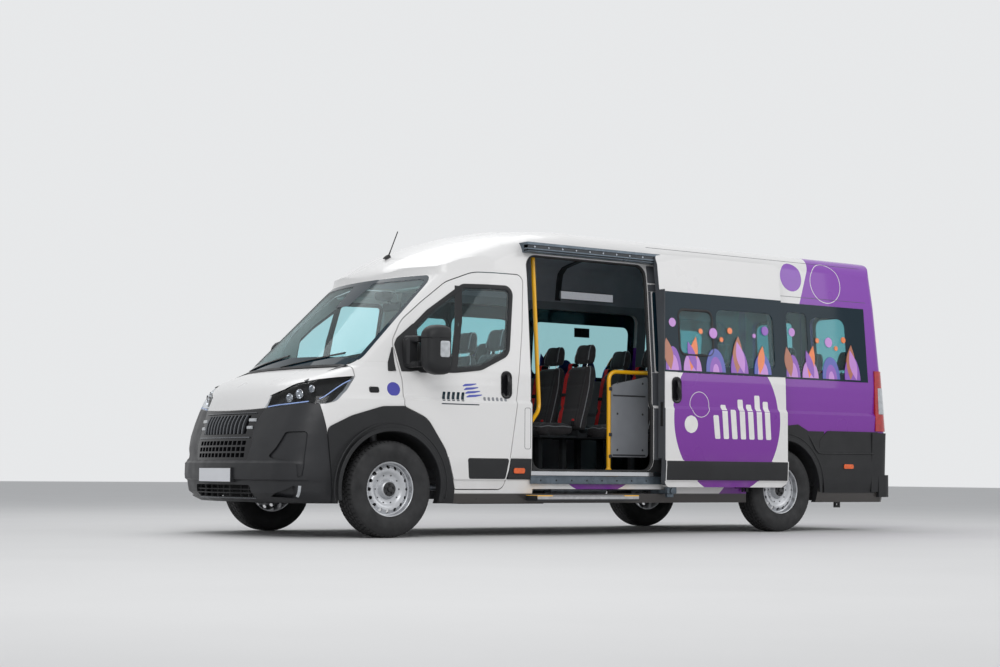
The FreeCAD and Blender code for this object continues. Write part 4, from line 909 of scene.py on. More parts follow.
# Window pictures: hills, leaves and bubbles. (kind, x, size, height, lean, material) from the base up
WINDOW_ART = (
    ("hill", 0.09, 0.085, 0.20, 0, 0), ("hill", 0.09, 0.055, 0.13, 0, 1), ("leaf", 0.06, 0.10, 0.27, 8, 4),
    ("bubble", 0.10, 0.038, 0.40, 0, 1), ("hill", 0.30, 0.10, 0.16, 0, 1), ("leaf", 0.28, 0.09, 0.30, -14, 3),
    ("leaf", 0.34, 0.08, 0.26, 18, 0), ("bubble", 0.41, 0.024, 0.34, 0, 3), ("hill", 0.56, 0.11, 0.20, 0, 2),
    ("hill", 0.56, 0.07, 0.13, 0, 0), ("hill", 0.56, 0.035, 0.07, 0, 1), ("bubble", 0.55, 0.045, 0.33, 0, 1),
    ("bubble", 0.64, 0.022, 0.28, 0, 3), ("hill", 0.83, 0.10, 0.22, 0, 0), ("leaf", 0.80, 0.11, 0.32, -6, 4),
    ("leaf", 0.88, 0.09, 0.28, 14, 1), ("bubble", 0.74, 0.028, 0.36, 0, 3), ("hill", 1.10, 0.10, 0.18, 0, 2),
    ("hill", 1.10, 0.06, 0.11, 0, 1), ("leaf", 1.06, 0.08, 0.25, -12, 3), ("bubble", 1.15, 0.04, 0.38, 0, 0),
    ("bubble", 1.02, 0.02, 0.33, 0, 1), ("hill", 1.31, 0.07, 0.24, 0, 0), ("leaf", 1.31, 0.10, 0.34, 4, 1),
)
ART = [M[name] for name in ("art_purple", "art_lilac", "art_blue", "art_orange", "art_brown", "art_white",
                            "sign_blue")]


def window_art(name, skin, side, start, length):
    """A row of pictures along the foot of a window band, from x = start backwards."""
    flush = Flush(skin, side)
    shape = Shape()
    base = BAND_LOW + 0.014
    for order, (kind, along, size, height, lean, paint) in enumerate(WINDOW_ART):
        if along + size > length or (side == RIGHT and kind == "bubble"):
            continue
        x = start - along
        lift = 0.0045 + 0.0004 * order
        if kind == "hill":
            outline = arch((x, base), size, height)
        elif kind == "leaf":
            outline = leaf((x, base), height, size, lean)
        else:
            outline = ring((x, base + height), size, 28)
        patch(shape, flush, outline, side, paint, lift, lift - 0.0030)
    piece(name, shape, ART[:6], "root", 30)


def door_art(name, skin, side, centre_x):
    """The purple field's outline circle, white disc and row of leaning bars."""
    shape = Shape()
    spot(shape, skin, (centre_x + 0.309, 1.074), 0.108, side, 5, hole=0.955)
    spot(shape, skin, (centre_x + 0.417, 0.907), 0.073, side, 5)
    base, lean = 0.790, 0.022
    for index, height in enumerate((0.20, 0.29, 0.25, 0.34, 0.30, 0.38, 0.33)):
        x = centre_x + 0.150 - index * 0.098
        blot(shape, skin, ((x, base), (x - 0.060, base), (x - 0.060 + lean, base + height),
                           (x + lean, base + height)), 0.012, side, 5)
    piece(name, shape, ART[:6], "root", 30)


def make_livery():
    tail = Skin("roof_panel", "side_panel_left", "side_panel_right", "rear_lamps")
    for side, word in SIDES:
        shape = Shape()
        spot(shape, tail, (-2.002, 2.247), (0.130, 0.127), side, 0)
        spot(shape, tail, (-2.43, 2.217), (0.192, 0.180), side, 5, hole=0.968)
        front = Skin("front_wings", "front_door_" + word, "cab_frame")
        spot(shape, front, (2.209, 1.110), 0.058, side, 5)
        spot(shape, front, (2.209, 1.110), 0.053, side, 6, lift=0.0013)
        piece(word + "_roof_circles", shape, ART, "root", 30)
        emblem = Shape()
        door = Skin("front_door_" + word)
        for row in range(4):
            z = 1.150 - 0.028 * row
            blot(emblem, door, ((1.600 - 0.012 * row, z), (1.470 - 0.018 * row, z + 0.012),
                                (1.462 - 0.018 * row, z + 0.028), (1.585 - 0.012 * row, z + 0.020)),
                 0.004, side, 0, 0.03)
        for index in range(5):
            x = 1.79 - 0.044 * index
            blot(emblem, door, ((x, 1.035), (x - 0.026, 1.035), (x - 0.038, 1.105), (x - 0.012, 1.105)),
                 0.004, side, 1, 0.03)
        blot(emblem, door, ((1.80, 1.008), (1.45, 1.008), (1.45, 1.016), (1.80, 1.016)), 0.003, side, 1, 0.05)
        for index in range(6):
            x = 1.40 - 0.040 * index
            blot(emblem, door, ((x, 1.045), (x - 0.022, 1.045), (x - 0.022, 1.075), (x, 1.075)),
                 0.003, side, 2, 0.03)
        piece(word + "_door_emblem", emblem, [M["art_blue"], M["frit"], M["trim"]],
              "front_door_" + word, 30)
    window_art("sliding_door_window_art", DOOR_SKIN, LEFT, -0.36, 1.37)
    window_art("left_rear_window_art", LEFT_SKIN, LEFT, -1.86, 1.0)
    window_art("right_front_window_art", RIGHT_SKIN, RIGHT, 0.92, 1.27)
    window_art("right_middle_window_art", RIGHT_SKIN, RIGHT, -0.39, 1.39)
    window_art("right_rear_window_art", RIGHT_SKIN, RIGHT, -1.83, 1.0)
    door_art("sliding_door_art", DOOR_SKIN, LEFT, OPEN_FIELD)
    door_art("right_side_art", RIGHT_SKIN, RIGHT, SHUT_FIELD)


make_livery()

# Trims that follow the bodywork

def half_round(width, height):
    return [(-width / 2, -0.001), (-width * 0.36, height * 0.68), (0, height), (width * 0.36, height * 0.68),
            (width / 2, -0.001)]


def flat(width, height, edge=0.001):
    return [(-width / 2, -0.001), (-width / 2, height - edge), (edge - width / 2, height),
            (width / 2 - edge, height), (width / 2, height - edge), (width / 2, -0.001)]


def follow(shape, skin, points, profile, side=LEFT, view="side", around=True, lift=0.0, paint=0):
    """A strip of one section along a line on a surface."""
    places, normals = skin.lay(points, view, side)
    places = [place + normal * lift for place, normal in zip(places, normals)]
    return shape.sweep(places, normals, profile, around, paint)


def merge(shape, other, matrix):
    """Another shape's points and faces, moved by a matrix."""
    start = len(shape.points)
    shape.points += [tuple(matrix @ Vector(point)) for point in other.points]
    shape.faces += [tuple(start + index for index in face) for face in other.faces]
    shape.paints += other.paints
    return shape


def facing(place, way):
    """A matrix that puts the Z axis along a direction at a place."""
    return Matrix.Translation(place) @ Vector(way).to_track_quat("Z", "Y").to_matrix().to_4x4()


def stud(shape, profile, place, way, sides=24, paint=0):
    """A profile of (height, radius) turned about a direction, standing at a place."""
    return merge(shape, Shape().turned(profile, (0, 0, 0), 2, sides, paint), facing(place, way))


def run_of(start, end, level, count):
    """Points at one level, from start to end."""
    return [(start + (end - start) * part / count, level) for part in range(count + 1)]


SCREEN = ((-0.845, 1.292, 0.07), (0.845, 1.292, 0.07), (0.775, 2.018, 0.09), (-0.775, 2.018, 0.09))


def make_windscreen():
    skin = Skin("windscreen", "cab_frame", "roof_panel")
    shape = Shape()
    outline = rounded(SCREEN, 0.04)
    outer = inset(outline, -0.006)
    inner = inset(outline, 0.028)
    inner = [Vector((point.x, max(point.y, 1.372 - 0.03 * (point.x / 0.8) ** 2))) for point in inner]
    decal(shape, skin, [outer, inner], "front", LEFT, 0.0016, 0.001, 0, fill=False)
    patch(shape, skin, ((-0.10, 1.80), (0.10, 1.80), (0.15, 1.995), (-0.15, 1.995)), LEFT, 0, 0.0012, 0.001,
          "front")
    piece("windscreen_border", shape, M["frit"], "root", 25)
    cowl = Shape()
    follow(cowl, Skin("cab_frame", "bonnet", "windscreen"), run_of(-0.80, 0.80, 1.284, 40),
           flat(0.030, 0.006, 0.002), LEFT, "front", False, 0.0005)
    piece("cowl_strip", cowl, M["black"], "root")
    inside = Shape()
    x, z = FRONT_AXLE - 0.62, 1.83
    inside.box((x - 0.02, -0.125, z - 0.035), (x + 0.012, 0.125, z + 0.035), 0.014)
    inside.tube([(x + 0.01, 0, z + 0.03), (x + 0.09, 0, z + 0.11)], 0.012)
    inside.box((x + 0.02, -0.07, z + 0.05), (x + 0.13, 0.07, z + 0.12), 0.02)
    piece("cab_mirror", inside, M["dark_trim"], "root")


# Front door windows: outline and divider, seen from the side, from the front axle
DOOR_PANE = ((-0.240, 1.256, 0.03), (-0.576, 1.268, 0.2), (-0.812, 1.296, 0.12), (-1.075, 1.42, 0.09),
             (-1.135, 1.948, 0.06), (-0.70, 1.94, 0.06), (-0.385, 1.72, 0.2), (-0.245, 1.59, 0.06))


def shifted(points):
    return [(FRONT_AXLE + point[0], *point[1:]) for point in points]


def make_front_doors():
    for side, word in SIDES:
        body = "front_door_" + word
        outer_skin = Skin("front_door_" + word)
        flush = Outer("front_door_" + word, "front_door_glass_" + word)
        # An outline is reversed on the right, so that its strips face outward
        outline = rounded(shifted(DOOR_PANE), 0.04)[::side]
        frame_shape = Shape()
        places, normals = flush.lay(outline, "side", side)
        frame_shape.sweep(places, normals, [(-0.016, -0.012), (-0.016, 0.004), (-0.010, 0.007),
                                            (0.012, 0.007), (0.020, 0.003), (0.022, -0.012)])
        rim = inset(outline, 0.012)
        within = inset(rim, 0.022)
        frame_shape.loops([flush.raised(line, "side", side, height) for line, height in (
            (rim, -0.001), (within, -0.006), (within, -0.009), (rim, -0.009))], joined=True)
        post = [(FRONT_AXLE - 0.662 + 0.105 * index / 12, 1.936 - 0.668 * index / 12) for index in range(13)]
        places, normals = flush.lay(post, "side", side)
        frame_shape.sweep(places, normals, [(-0.030, -0.008), (-0.030, 0.001), (-0.026, 0.003),
                                            (0.026, 0.003), (0.030, 0.001), (0.030, -0.008)], False)
        piece(body + "_window_frame", frame_shape, M["black"], body)
        sail = Shape()
        patch(sail, flush, shifted([(-0.106, 1.247), (-0.25, 1.250), (-0.30, 1.30), (-0.25, 1.62),
                                    (-0.106, 1.503), (-0.081, 1.455)]), side, 0, 0.010, 0.014)
        piece(body + "_sail", sail, M["black"], body)
        wing_sail = Shape()
        patch(wing_sail, Skin("front_wings", "cab_frame"),
              shifted([(-0.002, 1.247), (-0.012, 1.315), (-0.058, 1.430), (-0.068, 1.430), (-0.094, 1.247)]),
              side, 0, 0.010, 0.014)
        piece("wing_sail_" + word, wing_sail, M["black"], "root")
        handle(body + "_handle", outer_skin, side, FRONT_AXLE - 1.055, 1.068, 1.284, body)
        low = Shape()
        follow(low, outer_skin, run_of(FRONT_AXLE - 0.115, FRONT_AXLE - 1.10, 1.044, 30)[::side],
               half_round(0.006, 0.0012), side, "side", False)
        piece(body + "_crease", low, M["white"], body)


def handle(name, skin, side, x, low, high, body):
    """A door handle: a rounded black dish with an upright grip."""
    shape = Shape()
    outline = loop(x - 0.052, low, x + 0.052, high, 0.048, 0.03)
    places, normals = skin.lay(outline, "side", side)
    centre, normal = skin.side(x, (low + high) / 2, side)

    def ring_of(share, lift):
        return [centre.lerp(place, share) + normal * lift for place, normal in zip(places, normals)]

    shape.loops([ring_of(1.0, -0.001), ring_of(1.0, 0.005), ring_of(0.94, 0.008), ring_of(0.86, 0.007),
                 ring_of(0.78, 0.003), ring_of(0.4, 0.0015), ring_of(0.1, 0.0015)], True, False, True)
    grip = []
    for part in range(9):
        share = part / 8
        z = low + 0.030 + (high - low - 0.060) * share
        place, out = skin.side(x - 0.006, z, side)
        grip.append(place + out * (0.010 + 0.018 * math.sin(math.pi * share)))
    shape.tube(grip, [0.010, 0.013, 0.015, 0.016, 0.016, 0.016, 0.015, 0.013, 0.010], 10)
    piece(name, shape, M["gloss_black"], body, 40)


make_windscreen()
make_front_doors()


def edge_height(skin, y, low, high):
    """The height at which a front cast first meets a panel, between two heights."""
    for _ in range(12):
        probe = (low + high) / 2
        hit = skin.tree.ray_cast(Vector((2 * FAR, y, probe)), Vector((-1, 0, 0)))[0]
        if hit is not None and hit.x > FRONT_AXLE + 0.3:
            high = probe
        else:
            low = probe
    return high


def closed_band(shape, rows_out, rows_in):
    """A thin solid between matching rows of outer and inner points."""
    return shape.loops([out + inside[::-1] for out, inside in zip(rows_out, rows_in)], True, True, True)


def make_bonnet_lip():
    """The bonnet's front edge, carried down to the bumper between the headlamps."""
    bonnet = Skin("bonnet")
    bumper = Skin("front_bumper", "grille")
    shape = Shape()
    outer_rows, inner_rows = [], []
    for index in range(41):
        y = -0.475 + 0.95 * index / 40
        high = edge_height(bonnet, y, 0.93, 1.05) + 0.002
        top = bonnet.front(y, high + 0.002)[0]
        low_z = 0.9425 + 0.012 * (y / 0.475) ** 2
        below = bumper.front(y, 0.925)[0]
        slope = (top.x - below.x) / (top.z - below.z)
        outer_rows.append([Vector((top.x + slope * (z - top.z) + 0.0004, y, z)) for z in
                           (low_z, low_z + 0.006, (low_z + high) / 2 + 0.002, high)])
        outer_rows[-1][0].x -= 0.006
        inner_rows.append([point - Vector((0.012, 0, 0)) for point in outer_rows[-1]])
    closed_band(shape, outer_rows, inner_rows)
    piece("bonnet_lip", shape, M["white"], "bonnet", 40)


def flush_strip(shape, skin, side, x_front, x_rear, lift, corner, slant=0.0, rear_slant=0.0):
    """A raised moulding along the body's side, with rounded corners and a chamfered edge."""
    low, high = 0.440, 0.604
    outline = rounded(((x_rear, low, corner), (x_front, low, corner), (x_front + slant, high, corner),
                       (x_rear + rear_slant, high, corner)), 0.05)
    rows = [outline, inset(outline, 0.002), inset(outline, 0.006)]
    shape.loops([skin.raised(row, "side", side, height)
                 for row, height in zip(rows, (-0.004, lift - 0.002, lift))])
    return patch(shape, skin, rows[2], side, 0, lift, 0.012)


def lamp_marker(shape, skin, side, x_front, x_rear, low, high, lift, paint, holder):
    """A small side marker lamp in its holder."""
    outline = loop(x_rear, low, x_front, high, (high - low) * 0.28, 0.02)
    shape.loops([skin.raised(inset(outline, depth), "side", side, lift + height)
                 for depth, height in ((-0.004, -0.006), (-0.003, 0.002), (0.001, 0.003))], paint=holder)
    return patch(shape, skin, inset(outline, 0.001), side, paint, lift + 0.006, 0.006)


def make_cladding():
    for side, word in SIDES:
        door = Outer("front_door_" + word)
        shape = Shape()
        flush_strip(shape, door, side, FRONT_AXLE - 0.688, FRONT_AXLE - 1.036, 0.0022, 0.02, 0.018, -0.034)
        piece("front_door_strip_" + word, shape, M["black"], "front_door_" + word)
        pillar = Outer("cab_frame", "side_panel_" + word, "side_cladding")
        shape = Shape()
        end = 0.950 if side == LEFT else 0.956
        flush_strip(shape, pillar, side, FRONT_AXLE - 1.048, end, 0.0125, 0.008, -0.036)
        piece("pillar_strip_" + word, shape, M["black"], "root")
        markers = Shape()
        lamp_marker(markers, pillar, side, FRONT_AXLE - 1.106, FRONT_AXLE - 1.216, 0.487, 0.531, 0.013, 0, 1)
        lamp_marker(markers, Outer("side_cladding", "side_panel_" + word), side, -2.531, -2.655, 0.552, 0.594,
                    0.002, 0, 1)
        wing = Outer("front_wings")
        lamp_marker(markers, wing, side, 2.402, 2.330, 1.082, 1.120, 0.002, 2, 1)
        piece("side_markers_" + word, markers, [M["orange_lens"], M["black"], M["gloss_black"]], "root")
        lips = Shape()
        cladding = Outer("side_cladding", "front_door_" + word, "side_panel_" + word, "front_wings",
                         "front_bumper")
        for axle, start, end in ((FRONT_AXLE, -18, 192), (REAR_AXLE, -2, 182)):
            for radius, wide, high in ((0.447, 0.030, 0.006), (0.492, 0.010, 0.004)):
                arc = []
                for part in range(57):
                    angle = math.radians(start + (end - start) * part / 56)
                    arc.append(Vector((axle + radius * math.cos(angle), HUB + radius * math.sin(angle))))
                arc = [point for point in arc if point.y > 0.262]
                places, normals = cladding.lay(arc, "side", side)
                level = sorted(place.y * side for place in places)[len(places) // 2]
                places = [Vector((place.x, side * max(place.y * side, level - 0.004), place.z))
                          for place in places]
                normals = [Vector((0, side, 0))] * len(places)
                profile = [(-wide / 2, -0.012), (-wide / 2, high * 0.6), (-wide / 2 + high / 2, high),
                           (wide / 2 - high / 2, high), (wide / 2, high * 0.6), (wide / 2, -0.012)]
                lips.sweep(places, normals, profile, False)
        piece("arch_lips_" + word, lips, M["black"], "root")
    shape = Shape()
    door = Outer("sliding_door")
    rear, front = (corner.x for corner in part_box("sliding_door"))
    flush_strip(shape, door, LEFT, front - 0.006, rear + 0.006, 0.0025, 0.008)
    piece("sliding_door_strip", shape, M["black"], "root")


def make_lamps():
    """Headlamp insides seen through the clear lens, and the front's small lamps."""
    lens = Skin("headlamps")
    for side, word in SIDES:
        shape = Shape()
        for y, z, radius in ((0.655, 1.030, 0.034), (0.735, 1.058, 0.038), (0.805, 1.096, 0.030)):
            centre = lens.front(side * y, z)[0] + Vector((-0.052, 0, 0))
            aim = (1, 0.25 * side, 0)
            stud(shape, [(0.0, 0.008), (0.004, radius * 0.55), (0.016, radius * 0.86), (0.034, radius),
                         (0.036, radius * 0.94), (0.018, radius * 0.80), (0.007, radius * 0.5),
                         (0.003, 0.004)], centre, aim, 28)
            stud(shape, [(0.004, 0.0015), (0.010, radius * 0.30), (0.016, radius * 0.42),
                         (0.022, radius * 0.34), (0.026, 0.0015)], centre, aim, 20, 1)
        strip = Shape()
        follow(strip, lens, [(side * y, z) for y, z in (
            (0.500, 0.966), (0.56, 0.974), (0.62, 0.980), (0.68, 0.984), (0.74, 0.989), (0.80, 0.995),
            (0.85, 1.003))], [(-0.005, 0.0), (-0.004, 0.0022), (0.004, 0.0022), (0.005, 0.0)],
               side, "front", False)
        piece("light_strip_" + word, strip, M["strip"], "root", 60)
        wedge = Shape()
        follow(wedge, lens, shifted(((0.565, 1.022), (0.53, 1.040), (0.48, 1.072), (0.43, 1.105),
                                     (0.37, 1.140), (0.31, 1.168))),
               [(-0.004, 0.0), (-0.003, 0.002), (0.003, 0.002), (0.004, 0.0)], side, "side", False)
        piece("light_wedge_" + word, wedge, M["strip"], "root", 60)
        piece("lamp_bowls_" + word, shape, [M["chrome"], M["pale_lens"]], "root", 50)
        small = Shape()
        line = [(FRONT_AXLE + 0.703, z) for z in (0.306, 0.325, 0.345, 0.365, 0.384)]
        follow(small, Skin("front_bumper"), line, flat(0.022, 0.008, 0.003), side, "side", False)
        piece("corner_lamp_" + word, small, M["pale_lens"], "root")


def across_front(skin, start, end, z, count, forward=0.002):
    """Points across the nose at one height, from y = start to y = end."""
    return [skin.front(y, z)[0] + Vector((forward, 0, 0)) for y, z in run_of(start, end, z, count)]


def make_front():
    """Grille slats, plate, lower intake and the radiator behind them."""
    front = Skin("grille", "front_bumper")
    slats = Shape()
    for index in range(12):
        y = (index - 5.5) * 0.054
        rows = []
        for part in range(7):
            lean = 0.010 * math.sin(math.pi * part / 6)
            rows.append(front.front(y, 0.766 + 0.140 * part / 6)[0] + Vector((0.004 + lean, 0, 0)))
        slats.sweep(rows, [Vector((1, 0, 0.2))] * 7, [(-0.0075, -0.02), (-0.0075, 0.002), (-0.003, 0.006),
                                                      (0.003, 0.006), (0.0075, 0.002), (0.0075, -0.02)],
                    False)
    for z, half, tall in ((0.738, 0.405, 0.010), (0.922, 0.40, 0.006)):
        slats.sweep(across_front(front, -half, half, z, 24), [Vector((1, 0, 0.1))] * 25,
                    flat(tall, 0.007, 0.002), False)
    piece("grille_slats", slats, M["slat"], "root")
    for side, word in SIDES:
        parts = Shape()
        for z, inner, outer in ((0.868, 0.345, 0.425), (0.812, 0.345, 0.405)):
            parts.sweep(across_front(front, side * inner, side * outer, z, 6), [Vector((1, 0, 0.1))] * 7,
                        flat(0.024, 0.010, 0.004), False)
        piece("grille_light_" + word, parts, M["pale_lens"], "root")
    radiator = Shape()
    place = FRONT_AXLE + 0.80
    radiator.box((place - 0.03, -0.42, 0.30), (place - 0.026, 0.42, 0.92), 0.001)
    for index in range(46):
        z = 0.31 + 0.0132 * index
        radiator.box((place - 0.026, -0.41, z), (place - 0.020, 0.41, z + 0.0025), 0.0005)
    piece("radiator", radiator, M["dark"], "root")
    plate = Shape()
    high_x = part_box("front_bumper")[1].x
    plate.box((high_x - 0.0015, -0.262, 0.4005), (high_x + 0.0032, 0.262, 0.5155), 0.002)
    plate.box((high_x + 0.0030, -0.255, 0.4075), (high_x + 0.0040, 0.255, 0.5085), 0.0004, paint=1)
    piece("number_plate", plate, [M["black"], M["plate"]], "root")
    bars = Shape()
    for z in (0.325, 0.352):
        path = [Vector((point.x, point.y, z)) for point in across_front(front, -0.43, 0.43, 0.41, 16, -0.03)]
        bars.sweep(path, [Vector((1, 0, 0))] * 17, flat(0.009, 0.012, 0.003), False)
    for index in range(9):
        y = (index - 4) * 0.098
        top = front.front(y, 0.41)[0]
        bars.box((top.x - 0.045, y - 0.004, 0.296), (top.x - 0.028, y + 0.004, 0.384), 0.001)
    piece("intake_bars", bars, M["black"], "root")
    lip = Shape()
    lip.sweep(across_front(front, -0.45, 0.45, 0.287, 20, 0.001), [Vector((1, 0, 0))] * 21,
              flat(0.010, 0.006, 0.002), False)
    piece("intake_lip", lip, M["slat"], "root")


make_bonnet_lip()
make_cladding()
make_lamps()
make_front()

# Wheels: tyres with their tread, hub caps and bolts

TYRE_PITCHES = 62
CARCASS = ((-0.086, 0.2055), (-0.0935, 0.211), (-0.101, 0.228), (-0.1085, 0.250), (-0.112, 0.268),
           (-0.1125, 0.2875), (-0.1128, 0.2905), (-0.1125, 0.2935), (-0.1105, 0.311), (-0.1095, 0.3125),
           (-0.1060, 0.3285), (-0.1015, 0.3400), (-0.0945, 0.3470), (-0.0800, 0.3510), (-0.0450, 0.3532))
RIBS = ((-0.0925, -0.0640), (-0.0560, -0.0250), (-0.0160, 0.0160), (0.0250, 0.0560), (0.0640, 0.0925))


def tread_radius(across):
    """The tyre's outer radius at a distance from its middle plane."""
    flat_half, shoulder = 0.0675, 0.0230
    fall = max(0.0, (abs(across) - flat_half) / shoulder)
    return TYRE_RADIUS - 0.0085 * fall ** 1.4


def tyre_shape():
    """One tyre about its own middle, axis along Y."""
    shape = Shape()
    profile = list(CARCASS) + [(-along, radius) for along, radius in CARCASS[::-1]]
    shape.turned(profile, (0, 0, 0), 1, 124, 0, True)
    step = 2 * math.pi / TYRE_PITCHES
    for rib, (inner, outer) in enumerate(RIBS):
        share = 0.80 if rib in (0, 4) else 0.84
        skew = (0.10, -0.16, 0.0, 0.16, -0.10)[rib]
        for pitch in range(TYRE_PITCHES):
            start = (pitch + 0.5 * (rib % 2)) * step
            corners = []
            for along in (inner, (inner + outer) / 2, outer):
                lean = skew * (along - (inner + outer) / 2) / 0.03 + (0.12 if along == 0 else 0)
                corners.append((along, start + lean * step, start + lean * step + share * step))
            top, low = [], []
            for along, first, last in corners:
                for angle in (first, last):
                    for radius, row in ((tread_radius(along), top), (tread_radius(along) - 0.0095, low)):
                        row.append(Vector((radius * math.cos(angle), along, radius * math.sin(angle))))
            faces = [(0, 1, 3, 2), (2, 3, 5, 4), (6, 7, 1, 0), (10, 11, 5, 4)]
            faces += [(0, 2, 8, 6), (2, 4, 10, 8), (1, 3, 9, 7), (3, 5, 11, 9)]
            shape.add(top + low, faces)
    return shape


def hub_shape():
    """Hub cap, wheel bolts, rim edge and valve, outward along +Y from the wheel's middle plane."""
    shape = Shape()
    for profile, sides, paint in (
            (((0.0645, 0.0005), (0.0775, 0.0005), (0.0800, 0.004), (0.0800, 0.050), (0.0775, 0.0535),
              (0.0645, 0.0535)), 40, 0),
            (((0.0795, 0.0215), (0.0885, 0.0205), (0.0925, 0.017), (0.0935, 0.0005)), 28, 0),
            (((0.0815, 0.1965), (0.0855, 0.1975), (0.0885, 0.2005), (0.0890, 0.2040),
              (0.0860, 0.2065)), 72, 1)):
        shape.turned(profile, (0, 0, 0), 1, sides, paint)
    for count, first, radius, height, profile, sides, paint in (
            (5, 0.25, 0.036, 0.0795, ((0.0, 0.0098), (0.008, 0.0098), (0.0105, 0.0085), (0.0105, 0.0055),
                                      (0.008, 0.005), (0.008, 0.0003)), 6, 0),
            (10, 0.0, 0.105, 0.044, ((0.0, 0.0055), (0.0025, 0.0050), (0.003, 0.0003)), 12, 2)):
        for index in range(count):
            angle = 2 * math.pi * (index + first) / count
            place = Vector((radius * math.cos(angle), height, radius * math.sin(angle)))
            stud(shape, profile, place, (0, 1, 0), sides, paint)
    valve = [(0.176, 0.050), (0.170, 0.066), (0.167, 0.080)]
    shape.tube([(radius * math.cos(0.7), height, radius * math.sin(0.7)) for radius, height in valve],
               [0.0045, 0.004, 0.0035])
    return shape


def make_wheels():
    tyre = tyre_shape()
    hub = hub_shape()
    for end in ("front", "rear"):
        for side, word in SIDES:
            corner = end + "_" + word
            turn = Matrix.Translation(middle("tyre_" + corner))
            if side == RIGHT:
                turn = turn @ Matrix.Rotation(math.pi, 4, "Z")
            item = piece("tread_tyre_" + corner, merge(Shape(), tyre, turn), M["tyre"], "wheel_" + corner,
                         28, False)
            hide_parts("tyre_" + corner)
            piece("hub_" + corner, merge(Shape(), hub, turn), [M["hub"], M["silver"], M["dark"]],
                  "wheel_" + corner, 40)


make_wheels()

# Mirrors

MIRROR_ROWS = ((-0.3575, 1.082, 1.246, 1.240, 1.570, 0.050), (-0.3570, 1.074, 1.254, 1.231, 1.580, 0.055),
               (-0.335, 1.071, 1.2565, 1.225, 1.590, 0.065), (-0.290, 1.071, 1.2565, 1.223, 1.594, 0.070),
               (-0.245, 1.077, 1.251, 1.230, 1.590, 0.070), (-0.208, 1.090, 1.239, 1.248, 1.576, 0.066),
               (-0.185, 1.106, 1.224, 1.272, 1.556, 0.055), (-0.174, 1.128, 1.204, 1.300, 1.530, 0.036))
MIRROR_SPLIT = 1.492


def mirror_loops(low, high, grow, side):
    return [[Vector((FRONT_AXLE + x, side * point.x, min(max(point.y, low), high)))
             for point in even_loop(inner - grow, bottom - grow, outer + grow, top + grow, radius, 8, 6)]
            for x, inner, outer, bottom, top, radius in MIRROR_ROWS]


def make_mirrors():
    for side, word in SIDES:
        body = "front_door_" + word
        shape = Shape()
        shape.loops(mirror_loops(1.0, MIRROR_SPLIT, 0.002, side), True, True, True, 0)
        shape.loops(mirror_loops(MIRROR_SPLIT + 0.004, 2.0, 0.0035, side), True, True, True, 0)
        shape.box((FRONT_AXLE - 0.350, side * 1.164 - 0.082, MIRROR_SPLIT - 0.002),
                  (FRONT_AXLE - 0.195, side * 1.164 + 0.082, MIRROR_SPLIT + 0.006), 0.002)
        piece("mirror_housing_" + word, shape, M["black"], body, 40)
        glass = Shape()
        for low, high in ((1.250, 1.345), (1.362, 1.560)):
            outline = even_loop(1.086, low, 1.242, high, 0.030, 8, 6)
            glass.loops([[Vector((FRONT_AXLE + x, side * point.x, point.y))
                          for point in inset(outline, depth)]
                         for depth, x in ((0.0, -0.3580), (0.0015, -0.3605), (0.006, -0.3605))],
                        True, False, True)
        piece("mirror_glass_" + word, glass, M["mirror"], body, 30)
        lens = Shape()
        rows = []
        for depth, out in ((0.0, -0.001), (0.0, 0.0040), (0.003, 0.0060), (0.012, 0.0068)):
            outline = inset(even_loop(-0.345, 1.350, -0.262, 1.472, 0.016, 5, 4), depth)
            row = []
            for point in outline:
                bend = max(0.0, (point.x + 0.30) / 0.04)
                far = 1.2565 + out - 0.004 * bend * bend
                row.append(Vector((FRONT_AXLE + point.x, side * far, point.y)))
            rows.append(row)
        lens.loops(rows, True, False, True, 0)
        piece("mirror_lamp_" + word, lens, M["pale_lens"], body, 40)
        arms = Shape()
        for z in (1.300, 1.490):
            arms.tube([(FRONT_AXLE - 0.150, side * 0.955, z), (FRONT_AXLE - 0.175, side * 1.02, z + 0.002),
                       (FRONT_AXLE - 0.205, side * 1.080, z + 0.002), (FRONT_AXLE - 0.25, side * 1.115, z)],
                      [0.030, 0.027, 0.024, 0.022], 14)
        arms.box((FRONT_AXLE - 0.225, side * 0.975 - 0.045, 1.285),
                 (FRONT_AXLE - 0.125, side * 0.975 + 0.045, 1.505), 0.018)
        piece("mirror_arms_" + word, arms, M["black"], body, 40)


make_mirrors()

# The open doorway

DOOR_FRONT = 0.941
DOOR_REAR = -0.313
DOOR_LOW = 0.508
DOOR_HIGH = 2.232


def doorway_loop(grow, radius):
    return loop(DOOR_REAR - grow, DOOR_LOW - grow, DOOR_FRONT + grow, DOOR_HIGH + grow, radius)


